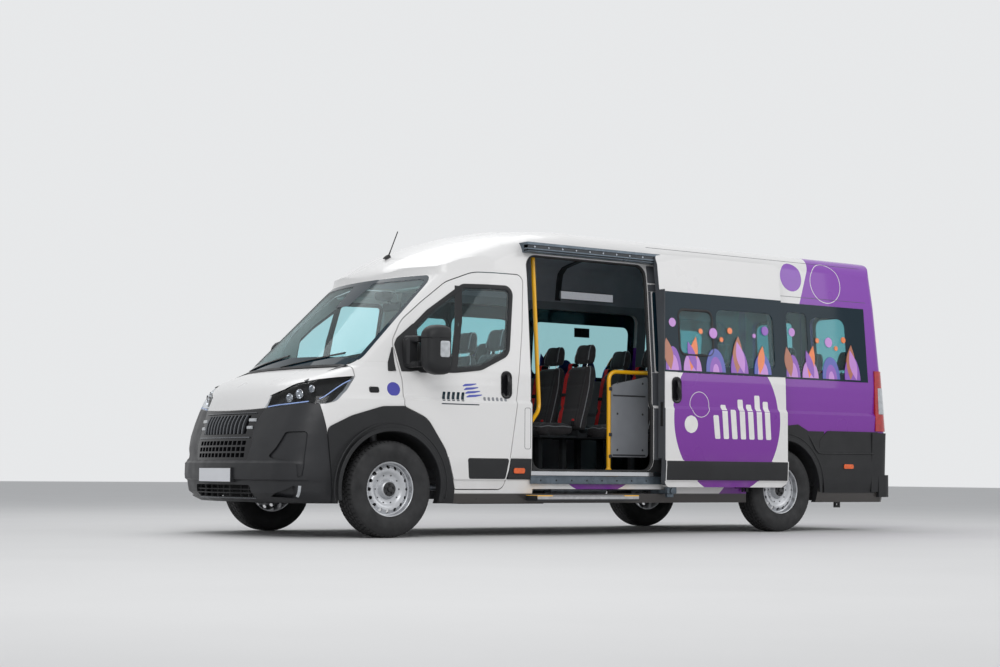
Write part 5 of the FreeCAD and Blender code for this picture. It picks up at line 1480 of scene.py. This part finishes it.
def make_doorway():
    around = Outer("side_panel_left", "roof_panel", "cab_frame", "side_cladding")
    seal = Shape()
    outline = doorway_loop(-0.004, 0.098)
    probe = doorway_loop(0.014, 0.110)
    level = []
    for x, z in outline:
        nearest = min(probe, key=lambda point: (point.x - x) ** 2 + (point.y - z) ** 2)
        level.append(min(around.side(nearest.x, nearest.y, LEFT)[0].y, 1.026))
    places = [Vector((point.x, y - 0.020, point.y)) for point, y in zip(outline, level)]
    seal.sweep(places, [Vector((0, 1, 0))] * len(places), [(-0.012, -0.012), (-0.012, 0.006), (-0.006, 0.014),
                                                           (0.006, 0.014), (0.012, 0.006), (0.012, -0.012)])
    piece("doorway_seal", seal, M["rubber"], "root", 60)
    # A dark grey film on the body behind the doorway paints the open door's shadow there, and the dark of the
    # door's edge trim.
    door_shadow = Shape()
    skin = Outer("side_panel_left", "roof_panel")
    for low, high, back in ((0.512, 1.036, -0.470), (1.056, 1.330, -0.470), (1.330, 2.014, -0.345),
                            (2.014, 2.070, -0.470), (2.082, 2.226, -0.470)):
        patch(door_shadow, skin, ((back, low), (-0.3165, low), (-0.3165, high), (back, high)), LEFT, 0, 0.0022,
              0.0022)
    piece("doorway_rear_door_shadow", door_shadow, M["edge"], "root", 30)
    sill = Shape()
    for index in range(6):
        sill.box((-0.46, 0.962 + index * 0.012, 0.5060), (0.95, 0.966 + index * 0.012, 0.5078), 0.0006)
    for low_y, low_z, high_y, high_z, edge, paint in (
            (0.955, 0.4985, 1.0395, 0.5065, 0.002, 0), (1.0345, 0.4720, 1.0400, 0.5050, 0.002, 0),
            (1.0200, 0.4060, 1.0345, 0.4680, 0.002, 1), (1.0330, 0.4060, 1.0385, 0.4120, 0.0015, 1),
            (1.0330, 0.4560, 1.0385, 0.4680, 0.0015, 1)):
        sill.box((-0.470, low_y, low_z), (0.958, high_y, high_z), edge, paint)
    for index in range(9):
        stud(sill, [(0.0, 0.0075), (0.0012, 0.0070), (0.0012, 0.0003)],
             Vector((0.86 - index * 0.155, 1.0345, 0.434)), (0, 1, 0), 14, 2)
    piece("doorway_sill", sill, [M["chrome"], M["track"], M["dark"]], "root")
    top = Shape()
    for z, y, tall in ((2.300, 0.992, 0.024), (2.262, 0.998, 0.014), (2.245, 1.004, 0.007)):
        top.box((-0.420, y - 0.05, z), (0.978, y, z + tall), 0.003)
    top.box((-0.420, 0.93, 2.2460), (0.966, 0.9865, 2.3225), 0.002, 1)
    for index in range(10):
        stud(top, [(0.0, 0.0085), (0.004, 0.0078), (0.0045, 0.0003)],
             Vector((0.90 - index * 0.14, 0.9865, 2.287)), (0, 1, 0), 6, 2)
    piece("upper_track", top, [M["track"], M["dark_track"], M["steel"]], "root")
    step = Shape()
    low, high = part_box("side_step")
    step.box((low.x + 0.02, low.y + 0.004, high.z - 0.002),
             (high.x - 0.02, high.y - 0.004, high.z + 0.0025), 0.001)
    for index in range(9):
        y = low.y + 0.014 + index * 0.0148
        step.box((low.x + 0.03, y, high.z + 0.002), (high.x - 0.03, y + 0.005, high.z + 0.0045), 0.0008)
    for x in (low.x + 0.001, high.x - 0.151):
        step.box((x, low.y, high.z - 0.016), (x + 0.15, high.y + 0.002, high.z + 0.0035), 0.002, paint=1)
    step.box((low.x + 0.002, high.y - 0.001, low.z + 0.012),
             (high.x - 0.002, high.y + 0.003, high.z - 0.004), 0.001)
    piece("step_tread", step, [M["alloy"], M["yellow"]], "root")
    latch = Shape()
    edge_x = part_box("sliding_door")[1].x
    for z, tall in ((1.000, 0.085), (0.885, 0.120)):
        latch.box((edge_x - 0.002, 1.085, z), (edge_x + 0.006, 1.118, z + tall), 0.003)
    latch.box((edge_x - 0.001, 1.055, 0.62), (edge_x + 0.003, 1.135, 2.02), 0.0015, paint=1)
    piece("door_latch", latch, [M["black"], M["edge"]], "root")
    bracket = Shape()
    bracket.box((-0.498, 1.060, 0.330), (-0.398, 1.105, 0.395), 0.006)
    bracket.box((-0.483, 1.050, 0.300), (-0.413, 1.085, 0.345), 0.006)
    stud(bracket, [(-0.010, 0.026), (0.010, 0.026), (0.012, 0.022), (0.012, 0.0005)],
         Vector((-0.448, 1.105, 0.352)), (0, 1, 0), 20)
    piece("door_bracket", bracket, M["track"], "root")
    handle("sliding_door_handle", Outer("sliding_door"), LEFT, -0.478, 1.078, 1.297, "root")


make_doorway()

# Seats: cushions, backs and headrests puffed by a cloth simulation, shared by all the seats

BACK_LEAN = math.radians(14)
CUSHION_BASE = 0.820
SEATS = [(1.48, -0.44), (1.48, 0.23), (1.48, 0.67)]
SEATS += [(0.64 - 0.78 * row, across) for row in range(4) for across in (-0.69, -0.24)]
SEATS += [(0.64 - 0.78 * row, 0.69) for row in (2, 3)]
SEATS += [(-2.50, across) for across in (-0.69, -0.24, 0.24, 0.69)]
CAB_SEATS = 3

# Each row: height, half length along X, half width across Y, corner radius, hollow of the front face
CUSHION_ROWS = ((0.016, 0.165, 0.160, 0.05, 0), (0.020, 0.188, 0.183, 0.05, 0),
                (0.034, 0.199, 0.194, 0.05, 0), (0.066, 0.199, 0.194, 0.05, 0),
                (0.082, 0.191, 0.186, 0.05, 0), (0.087, 0.168, 0.163, 0.05, 0))
BACK_ROWS = ((0.014, 0.020, 0.172, 0.016, 0), (0.024, 0.034, 0.190, 0.026, 0.002),
             (0.090, 0.037, 0.197, 0.026, 0.009), (0.230, 0.037, 0.203, 0.026, 0.012),
             (0.400, 0.036, 0.205, 0.026, 0.012), (0.520, 0.034, 0.198, 0.026, 0.009),
             (0.590, 0.033, 0.182, 0.026, 0.004), (0.625, 0.030, 0.160, 0.022, 0),
             (0.640, 0.017, 0.138, 0.014, 0))
HEAD_ROWS = ((0.004, 0.016, 0.100, 0.014, 0), (0.014, 0.030, 0.122, 0.024, 0),
             (0.070, 0.035, 0.126, 0.030, 0.004), (0.130, 0.033, 0.116, 0.028, 0.004),
             (0.162, 0.028, 0.100, 0.024, 0), (0.180, 0.015, 0.080, 0.012, 0))
CLOTH_PRESSURE = 4.0
CLOTH_FRAMES = 20


def pad_shape(rows):
    shape = Shape()
    loops = []
    for height, half_long, half_wide, radius, hollow in rows:
        row = []
        for point in even_loop(-half_long, -half_wide, half_long, half_wide, radius, 12, 5):
            dip = hollow * max(0.0, 1 - (point.y / half_wide) ** 2 * 1.6) if point.x > 0 else 0.0
            row.append(Vector((point.x - dip, point.y, height)))
        loops.append(row)
    shape.loops(loops, True, True, True, 0)
    return shape


def evaluated(item):
    graph = bpy.context.evaluated_depsgraph_get()
    return bpy.data.meshes.new_from_object(item.evaluated_get(graph))


def puffed(name, rows, voxel, cap):
    """The pad's mesh after remeshing, a pressure simulation held to a cap, and one subdivision."""
    shape = pad_shape(rows)
    mesh = bpy.data.meshes.new(name)
    mesh.from_pydata(shape.points, [], shape.faces)
    item = bpy.data.objects.new(name, mesh)
    bpy.context.scene.collection.objects.link(item)
    remesh = item.modifiers.new("remesh", "REMESH")
    remesh.mode = "VOXEL"
    remesh.voxel_size = voxel
    bpy.context.view_layer.update()
    mesh = evaluated(item)
    item.modifiers.clear()
    item.data = mesh
    rest = [vertex.co.copy() for vertex in mesh.vertices]
    cloth = item.modifiers.new("cloth", "CLOTH")
    cloth.settings.use_pressure = True
    cloth.settings.uniform_pressure_force = CLOTH_PRESSURE
    cloth.settings.effector_weights.gravity = 0.0
    cloth.point_cache.frame_start = 1
    cloth.point_cache.frame_end = CLOTH_FRAMES
    for frame_number in range(1, CLOTH_FRAMES + 1):
        bpy.context.scene.frame_set(frame_number)
    moved = [vertex.co.copy() for vertex in evaluated(item).vertices]
    item.modifiers.clear()
    bpy.context.scene.frame_set(1)
    centre = sum((new - old for new, old in zip(moved, rest)), Vector()) / len(rest)
    moved = [new - centre for new in moved]
    for vertex, old, new in zip(mesh.vertices, rest, moved):
        step = new - old
        if step.length > cap:
            step *= cap / step.length
        vertex.co = old + step
    mesh.update()
    divide = item.modifiers.new("divide", "SUBSURF")
    divide.levels = 1
    bpy.context.view_layer.update()
    final = evaluated(item)
    bpy.data.objects.remove(item)
    return final


def channel(mesh, gaps, depth, width):
    """Presses sewn channels in: each gap gives a point's distance from one channel."""
    mesh.update()
    for vertex in mesh.vertices:
        for gap in gaps:
            distance = gap(vertex.co)
            if distance < width * 2.2:
                vertex.co = vertex.co - vertex.normal * depth * math.exp(-(distance / width) ** 2)


def surface_tree(mesh):
    return BVHTree.FromPolygons([vertex.co.copy() for vertex in mesh.vertices],
                                [tuple(polygon.vertices) for polygon in mesh.polygons])


def pipe(shape, tree, guides, around=False):
    """Piping sewn on a pad, along the surface points nearest to its guides."""
    points = []
    for guide in guides:
        place, normal = tree.find_nearest(Vector(guide))[:2]
        points.append(place + normal * 0.0042 * 0.45)
    shape.tube(points, 0.0042, 6, around)


def seat_places():
    for number, (place, across) in enumerate(SEATS):
        cushion = Matrix.Translation((place, across, CUSHION_BASE))
        back = Matrix.Translation((place - 0.276, across, CUSHION_BASE + 0.020)) @ Matrix.Rotation(
            -BACK_LEAN, 4, "Y")
        yield number, across, cushion, back, back @ Matrix.Translation((0, 0, 0.642))


def make_seats():
    cushion_mesh = puffed("cushion_base", CUSHION_ROWS, 0.022, 0.024)
    back_mesh = puffed("back_base", BACK_ROWS, 0.022, 0.022)
    head_mesh = puffed("head_base", HEAD_ROWS, 0.015, 0.022)
    channel(cushion_mesh, [lambda p: abs(abs(p.y) - 0.125) if p.z > 0.04 and abs(p.x) < 0.19 else 1.0,
                           lambda p: abs(p.x - 0.05) if p.z > 0.06 and abs(p.y) < 0.125 else 1.0],
            0.007, 0.011)
    channel(back_mesh, [lambda p: abs(abs(p.y) - 0.120) if p.x > 0 and 0.05 < p.z < 0.55 else 1.0,
                        lambda p: abs(p.z - 0.22) if p.x > 0 and abs(p.y) < 0.120 else 1.0,
                        lambda p: abs(p.z - 0.44) if p.x > 0 and abs(p.y) < 0.120 else 1.0], 0.006, 0.011)
    channel(head_mesh, [lambda p: abs(abs(p.y) - 0.066) if p.x > -0.02 else 1.0], 0.004, 0.009)
    trees = [surface_tree(mesh) for mesh in (cushion_mesh, back_mesh, head_mesh)]

    cushion_piping, back_piping, head_piping = Shape(), Shape(), Shape()
    edge = even_loop(-0.20, -0.215, 0.225, 0.215, 0.06, 9, 4)
    pipe(cushion_piping, trees[0], [(*point, 0.105) for point in edge], True)
    for sign in (-1, 1):
        pipe(back_piping, trees[1], [(0.055, sign * wide, height) for height, wide in (
            (0.03, 0.190), (0.08, 0.205), (0.14, 0.212), (0.20, 0.216), (0.27, 0.218), (0.34, 0.219),
            (0.41, 0.218), (0.47, 0.214), (0.52, 0.206), (0.56, 0.196), (0.60, 0.180), (0.63, 0.160),
            (0.65, 0.138))])
        pipe(head_piping, trees[2], [(x, sign * y, z) for x, y, z in (
            (0.06, 0.100, 0.02), (0.06, 0.108, 0.06), (0.06, 0.108, 0.10), (0.06, 0.100, 0.14),
            (0.055, 0.092, 0.17), (0.035, 0.086, 0.195), (0.0, 0.086, 0.21), (-0.035, 0.086, 0.195),
            (-0.055, 0.092, 0.17), (-0.06, 0.100, 0.14), (-0.06, 0.108, 0.08), (-0.06, 0.100, 0.02))])

    posts, belt, buckle = Shape(), Shape(), Shape()
    for sign in (-1, 1):
        posts.tube([(0, sign * 0.055, -0.03), (0, sign * 0.055, 0.04)], [0.006, 0.006], 10)

    webbing = []
    for share in range(15):
        height = 0.625 - 0.56 * share / 14
        y = 0.150 - 0.045 * share / 14
        hit = trees[1].ray_cast(Vector((0.5, y, height)), Vector((-1, 0, 0)))[0]
        webbing.append(Vector(((hit.x if hit else 0.03) + 0.003, y, height)))
    over = [Vector((-0.045, 0.152, 0.600)), Vector((-0.030, 0.152, 0.640)), Vector((0.0, 0.152, 0.652)),
            Vector((webbing[0].x - 0.008, 0.151, 0.644))]
    path = over + webbing + [Vector((webbing[-1].x + 0.015, 0.112, 0.045))]
    normals = []
    for index in range(len(path)):
        run = path[min(index + 1, len(path) - 1)] - path[max(index - 1, 0)]
        normals.append(Vector((0, 1, 0)).cross(run).normalized() * -1)
    if normals[8].x < 0:
        normals = [-one for one in normals]
    belt.sweep(path, normals, flat(0.046, 0.0022, 0.0008), False)
    lower = path[11]
    belt.box((lower.x - 0.004, lower.y - 0.027, lower.z - 0.016),
             (lower.x + 0.007, lower.y + 0.027, lower.z + 0.016), 0.003, 1)
    belt.box((path[1].x - 0.012, 0.118, 0.634), (path[1].x + 0.040, 0.186, 0.656), 0.008, paint=1)
    buckle.box((0.060, -0.118, 0.055), (0.078, -0.090, 0.100), 0.005, paint=1)
    buckle.box((0.063, -0.116, 0.095), (0.080, -0.092, 0.116), 0.004)

    soft, belts, metal = Shape(), Shape(), Shape()
    for number, across, cushion, back, head in seat_places():
        for word, mesh, matrix, node, fill in (("cushion", cushion_mesh, cushion, "seat_cushions", 0.8),
                                               ("back", back_mesh, back, "seat_backs", 0.8),
                                               ("headrest", head_mesh, head, "headrests", 0.85)):
            copy = mesh.copy()
            copy.transform(matrix)
            copy.materials.clear()
            copy.materials.append(M["seat"])
            item = bpy.data.objects.new("seat_%s_%02d" % (word, number), copy)
            bpy.context.scene.collection.objects.link(item)
            smooth(item, 180)
            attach(item, "root")
            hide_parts(node)
        merge(soft, cushion_piping, cushion)
        merge(soft, back_piping, back)
        merge(soft, head_piping, head)
        merge(metal, posts, head)
        if number >= CAB_SEATS:
            flip = Matrix.Scale(-1, 4, (0, 1, 0)) if across < 0 else Matrix.Identity(4)
            merge(belts, belt, back @ flip)
            merge(belts, buckle, back @ flip)
    piece("seat_piping", soft, M["piping"], "root", 180)
    piece("headrest_posts", metal, M["chrome"], "root", 60)
    piece("seat_belts", belts, [M["belt"], M["black"]], "root", 50)
    for mesh in (cushion_mesh, back_mesh, head_mesh):
        bpy.data.meshes.remove(mesh)


make_seats()

# Rear quarters: cladding round the corners, lamps, and the side's small lines

CORNER_X = -2.93
CORNER_Y = 0.80
CORNER_COLUMNS = 12


def wrapped(shape, skin, side, levels, starts, ends, probes, lift, thick):
    """A thin solid round a rear corner: each level runs between two angles about the corner."""
    def reach(z, way):
        centre = Vector((CORNER_X, side * CORNER_Y, z))
        place = skin.tree.ray_cast(centre + way * 0.6, -way)[0]
        return (place - centre).length if place else 0.22

    def even(z, way):
        low, high = reach(probes[0], way), reach(probes[-1], way)
        line = [low + (high - low) * (probe - probes[0]) / (probes[-1] - probes[0]) for probe in (*probes, z)]
        proud = max(reach(probe, way) - level for probe, level in zip(probes, line))
        return line[-1] + max(proud, 0.0)

    rows_out, rows_in = [], []
    for z, start, end in zip(levels, starts, ends):
        centre = Vector((CORNER_X, side * CORNER_Y, z))
        out, inside = [], []
        for part in range(CORNER_COLUMNS + 1):
            angle = math.radians(start + (end - start) * part / CORNER_COLUMNS)
            way = Vector((-math.sin(angle), side * math.cos(angle), 0))
            far = even(z, way)
            out.append(centre + way * (far + lift))
            inside.append(centre + way * (far + lift - thick))
        rows_out.append(out)
        rows_in.append(inside)
    return closed_band(shape, rows_out, rows_in)


LAMP_PROBES = (0.896, 0.94, 0.965, 0.975, 0.985, 0.995, 1.005, 1.015, 1.03, 1.08, 1.20, 1.32, 1.445)


def make_quarters():
    for side, word in SIDES:
        skin = Skin("side_panel_" + word)
        shape = Shape()
        for outline in (((-1.79, 0.850), (-1.79, 0.918), (-1.857, 0.925), (-1.971, 0.937), (-2.02, 0.914),
                         (-2.02, 0.79)),
                        ((-2.0195, 0.79), (-2.0195, 0.914), (-2.095, 0.882), (-2.095, 0.70)),
                        ((-2.0945, 0.70), (-2.0945, 0.882), (-2.29, 0.882), (-2.29, 0.56)),
                        ((-2.30, 0.340), (-2.30, 0.380), (-2.955, 0.380), (-2.955, 0.340))):
            patch(shape, skin, outline, side, 0, 0.0080, 0.0080)
        piece("quarter_cladding_" + word, shape, M["black"], "root")
        corner = Shape()
        levels = (0.345, 0.349, 0.42, 0.52, 0.62, 0.72, 0.82, 0.872, 0.880)
        wrapped(corner, skin, side, levels, (-6, -8, -8, -8, -8, -8, -8, -8, -6),
                (66, 68, 72, 76, 77, 77, 77, 76, 74), levels, 0.010, 0.012)
        piece("corner_cladding_" + word, corner, M["black"], "root")
        creases = Shape()
        outer = Outer("side_panel_" + word, "side_cladding")
        line = [(-2.085, 0.862), (-2.13, 0.795), (-2.18, 0.722), (-2.215, 0.692), (-2.26, 0.686)]
        line += [(-2.26 - 0.66 * part / 14, 0.686 + 0.006 * part / 14) for part in range(1, 15)]
        follow(creases, outer, line, half_round(0.014, 0.005), side, "side", False, 0.004)
        piece("cladding_crease_" + word, creases, M["black"], "root")
        lens = Outer("side_panel_" + word, "rear_lamps")
        for name, foot, slope, levels, end, lift, thick, finish, slot in (
                ("lens", 0.019, 0.062, (0.896, 0.900, 0.96, 1.05, 1.051, 1.17, 1.29, 1.291, 1.38, 1.440,
                                        1.445), 76, 0.003, 0.030, "red_lens", "lamp_red"),
                ("clear", 0.062, 0.050, (1.052, 1.056, 1.10, 1.17, 1.24, 1.286, 1.290), 75, 0.0055, 0.012,
                 "pale_lens", "lamp_clear")):
            lamp = Shape()
            starts = [math.degrees(math.atan2(foot + (z - 0.9) * slope, 0.225)) for z in levels]
            wrapped(lamp, lens, side, levels, starts, [end] * len(levels), LAMP_PROBES, lift, thick)
            piece("rear_lamp_%s_%s" % (name, word), lamp, M[finish], "root", 40)
        # Thin dark lines mark the roof joint and the roof's pressed line, painting the shade in their
        # grooves; on the left one marks the flap's joint.
        seams = Shape()
        panel = Outer("side_panel_" + word, "roof_panel", "cab_frame")
        start = -0.36 if side == LEFT else 0.94
        for z in (2.072, 2.392):
            follow(seams, panel, run_of(start, CORNER_X, z, 40), half_round(0.0045, 0.0012), side, "side",
                   False, 0.0004)
        if side == LEFT:
            flap = loop(0.955, 0.679, 1.012, 1.001, 0.016, 0.03)
            follow(seams, panel, flap, half_round(0.0040, 0.0010), side, "side", True, 0.0004)
        piece("side_seams_" + word, seams, M["seam"], "root", 0)


make_quarters()

# Tail: handle, blank plate, high brake lamp, window borders and the bumper's tread


def make_tail():
    for side, word in SIDES:
        skin = Skin("rear_door_" + word, "rear_door_glass_" + word)
        shape = Shape()
        across = 0.405 * side
        outer = even_loop(across - 0.330, 1.285, across + 0.330, 2.045, 0.10, 12)
        inner = even_loop(across - 0.255, 1.365, across + 0.255, 1.965, 0.07, 12)
        decal(shape, skin, [outer, inner], "rear", side, 0.0030, 0.0030, 0, fill=False)
        piece("rear_window_border_" + word, shape, M["frit"], "rear_door_" + word, 30)
    skin = Skin("rear_door_left")
    shape = Shape()
    outline = loop(0.030, 1.045, 0.195, 1.120, 0.030, 0.03)
    follow(shape, skin, outline, half_round(0.014, 0.010), LEFT, "rear", True, 0.0)
    bar = [skin.rear(y, 1.083)[0] + Vector((-0.016 - 0.010 * math.sin(math.pi * share), 0, 0))
           for y, share in ((0.045, 0.0), (0.080, 0.3), (0.112, 0.5), (0.145, 0.7), (0.180, 1.0))]
    shape.tube(bar, [0.009, 0.011, 0.012, 0.011, 0.009], 10)
    piece("tail_handle", shape, M["gloss_black"], "rear_door_left", 40)
    plate = Shape()
    follow(plate, skin, run_of(0.175, 0.675, 0.800, 10), flat(0.130, 0.006, 0.003), view="rear",
           around=False)
    follow(plate, skin, run_of(0.180, 0.670, 0.800, 10), flat(0.110, 0.0085, 0.001), view="rear",
           around=False, paint=1)
    piece("rear_plate", plate, [M["black"], M["plate"]], "rear_door_left")
    lamp = Shape()
    follow(lamp, Skin("roof_panel"), run_of(-0.16, 0.16, 2.405, 10), flat(0.030, 0.010, 0.003), LEFT, "rear",
           False)
    piece("high_brake_lamp", lamp, M["red_lens"], "root")
    tread, bumper = Shape(), Skin("rear_bumper")
    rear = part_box("rear_bumper")[0].x
    for index in range(5):
        line = [(rear + 0.022 + 0.012 * index, -0.70 + 1.40 * part / 14) for part in range(15)]
        follow(tread, bumper, line, half_round(0.005, 0.002), LEFT, "top", False)
    piece("bumper_tread", tread, M["rubber"], "root")


make_tail()

# Cabin fittings: ceiling ribs, light panel, a blank sign, and the grab rails' tubes and flanges


def bent(points, radius, count=6):
    """A polyline with its corners turned in smooth bends."""
    points = [Vector(point) for point in points]
    path = [points[0]]
    for before, corner, after in zip(points, points[1:], points[2:]):
        start = corner + (before - corner).normalized() * min(radius, (before - corner).length * 0.45)
        end = corner + (after - corner).normalized() * min(radius, (after - corner).length * 0.45)
        for part in range(count + 1):
            share = part / count
            path.append(start * (1 - share) ** 2 + corner * 2 * share * (1 - share) + end * share ** 2)
    return path + [points[-1]]


def make_aerial():
    """The rod aerial on its streamlined foot."""
    low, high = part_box("aerial")
    roof = Skin("roof_panel")
    centre = middle("aerial")
    foot_x = high.x - 0.026
    place = roof.top(foot_x, centre.y)[0]
    shape = Shape()
    rows = []
    for share, long, wide in ((-0.1, 1.0, 1.0), (0.0, 1.0, 1.0), (0.25, 0.92, 0.86), (0.55, 0.72, 0.62),
                              (0.8, 0.48, 0.42), (1.0, 0.22, 0.25)):
        row = []
        for part in range(24):
            turn = 2 * math.pi * part / 24
            ahead = 0.034 * long * math.cos(turn) * (1.25 if math.cos(turn) > 0 else 1.0)
            row.append(Vector((foot_x - 0.012 * share + ahead, centre.y + 0.021 * wide * math.sin(turn),
                               place.z + 0.034 * share)))
        rows.append(row)
    shape.loops(rows, True, True, True)
    base = Vector((foot_x - 0.012, centre.y, place.z + 0.028))
    tip = Vector((low.x + 0.003, centre.y, high.z - 0.002))
    shape.tube([base.lerp(tip, part / 10) for part in range(11)],
               [0.0062, 0.0062] + [0.0046] * 8 + [0.0040], 10)
    item = piece("roof_aerial", shape, M["rubber"], "root", 45)
    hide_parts("aerial")


make_aerial()


def make_cabin():
    roof = Skin("roof_panel", "side_panel_left", "side_panel_right")
    ribs = Shape()
    for x in (0.42, -0.765, -1.92):
        places, normals = [], []
        for part in range(31):
            angle = math.radians(24 + 132 * part / 30)
            way = Vector((0, -math.cos(angle), math.sin(angle)))
            hit = roof.tree.ray_cast(Vector((x, 0, 1.70)), way)[0]
            if hit is None:
                continue
            places.append(hit - way * 0.003)
            normals.append(-way)
        ribs.sweep(places, normals, flat(0.062, 0.008, 0.003), False)
    piece("ceiling_ribs", ribs, M["dark_trim"], "root", 40)
    panels = Shape()
    for side in (RIGHT, LEFT):
        for x in (-1.41, -2.55):
            panels.box((x, side * 0.862 - 0.012, 2.104), (x + 0.635, side * 0.862 + 0.012, 2.186), 0.006)
            panels.box((x + 0.008, side * 0.851 - 0.004, 2.110),
                       (x + 0.627, side * 0.851 + 0.004, 2.180), 0.002, 1)
    piece("light_panels", panels, [M["trim"], M["lamp"]], "root")
    sign = Shape()
    sign.box((-1.197, -0.948, 1.768), (-1.016, -0.944, 1.855), 0.0015)
    for x in (-1.190, -1.100):
        sign.box((x, -0.9445, 1.776), (x + 0.078, -0.9425, 1.847), 0.0008, paint=1)
    piece("window_notice", sign, [M["dark_trim"], M["dark"]], "root")
    rails = Shape()
    pole = bent([(0.783, 0.80, 2.285), (0.705, 0.80, 1.0), (0.972, 0.985, 0.832)], 0.07)
    post = bent([(-0.057, 0.75, 0.515), (-0.057, 0.75, 1.34), (-0.617, 0.75, 1.34)], 0.085, 8)
    for path in (pole, post):
        rails.tube(path, 0.0172, 16)
    stud(rails, [(0.0, 0.040), (0.004, 0.039), (0.010, 0.030), (0.022, 0.020), (0.030, 0.019)],
         Vector((-0.057, 0.75, 0.511)), (0, 0, 1))
    stud(rails, [(0.0, 0.038), (0.004, 0.037), (0.010, 0.028), (0.024, 0.020)],
         Vector((-0.617, 0.75, 1.34)), (1, 0, 0))
    item = piece("grab_rail_tubes", rails, M["yellow"], "root", 50)
    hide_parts("grab_rails")
    clips = Shape()
    for z in (0.62, 0.80, 1.18):
        clips.box((-0.080, 0.728, z), (-0.048, 0.772, z + 0.030), 0.004)
    piece("rail_clips", clips, M["dark_trim"], "root")
    visors = Shape()
    for side in (RIGHT, LEFT):
        visors.box((FRONT_AXLE - 0.64, side * 0.45 - 0.19, 1.925),
                   (FRONT_AXLE - 0.48, side * 0.45 + 0.19, 1.945), 0.008)
    piece("sun_visors", visors, M["cab_trim"], "root", 40)
    band = Shape()
    low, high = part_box("modesty_panel")
    for z in (low.z, high.z - 0.18):
        band.box((low.x + 0.03, high.y - 0.001, z + 0.01), (high.x - 0.02, high.y + 0.004, z + 0.022), 0.002)
    for x in (low.x + 0.06, high.x - 0.07):
        for z in (low.z + 0.06, low.z + 0.36, low.z + 0.62):
            stud(band, [(0.0, 0.010), (0.003, 0.0085), (0.004, 0.0003)], Vector((x, high.y - 0.0005, z)),
                 (0, 1, 0), 12)
    piece("modesty_trim", band, M["dark_trim"], "root", 40)
    dash = Skin("dashboard")
    screen = Shape()
    place = dash.top(FRONT_AXLE - 0.40, 0.0)[0]
    tilt = Matrix.Translation((place.x, 0.02, place.z - 0.004)) @ Matrix.Rotation(math.radians(-14), 4, "Y")
    board = Shape()
    board.box((-0.010, -0.125, 0.0), (0.010, 0.125, 0.155), 0.006)
    board.box((-0.0115, -0.115, 0.012), (-0.0095, 0.115, 0.146), 0.001, paint=1)
    merge(screen, board, tilt)
    for y in (-0.30, 0.30):
        stud(screen, [(0.0, 0.042), (0.006, 0.041), (0.008, 0.036), (0.004, 0.030), (0.004, 0.002)],
             dash.rear(y, place.z - 0.12)[0], (-1, 0, 0), 28)
    piece("dash_screen", screen, [M["black"], M["gloss_black"]], "root", 40)


make_cabin()
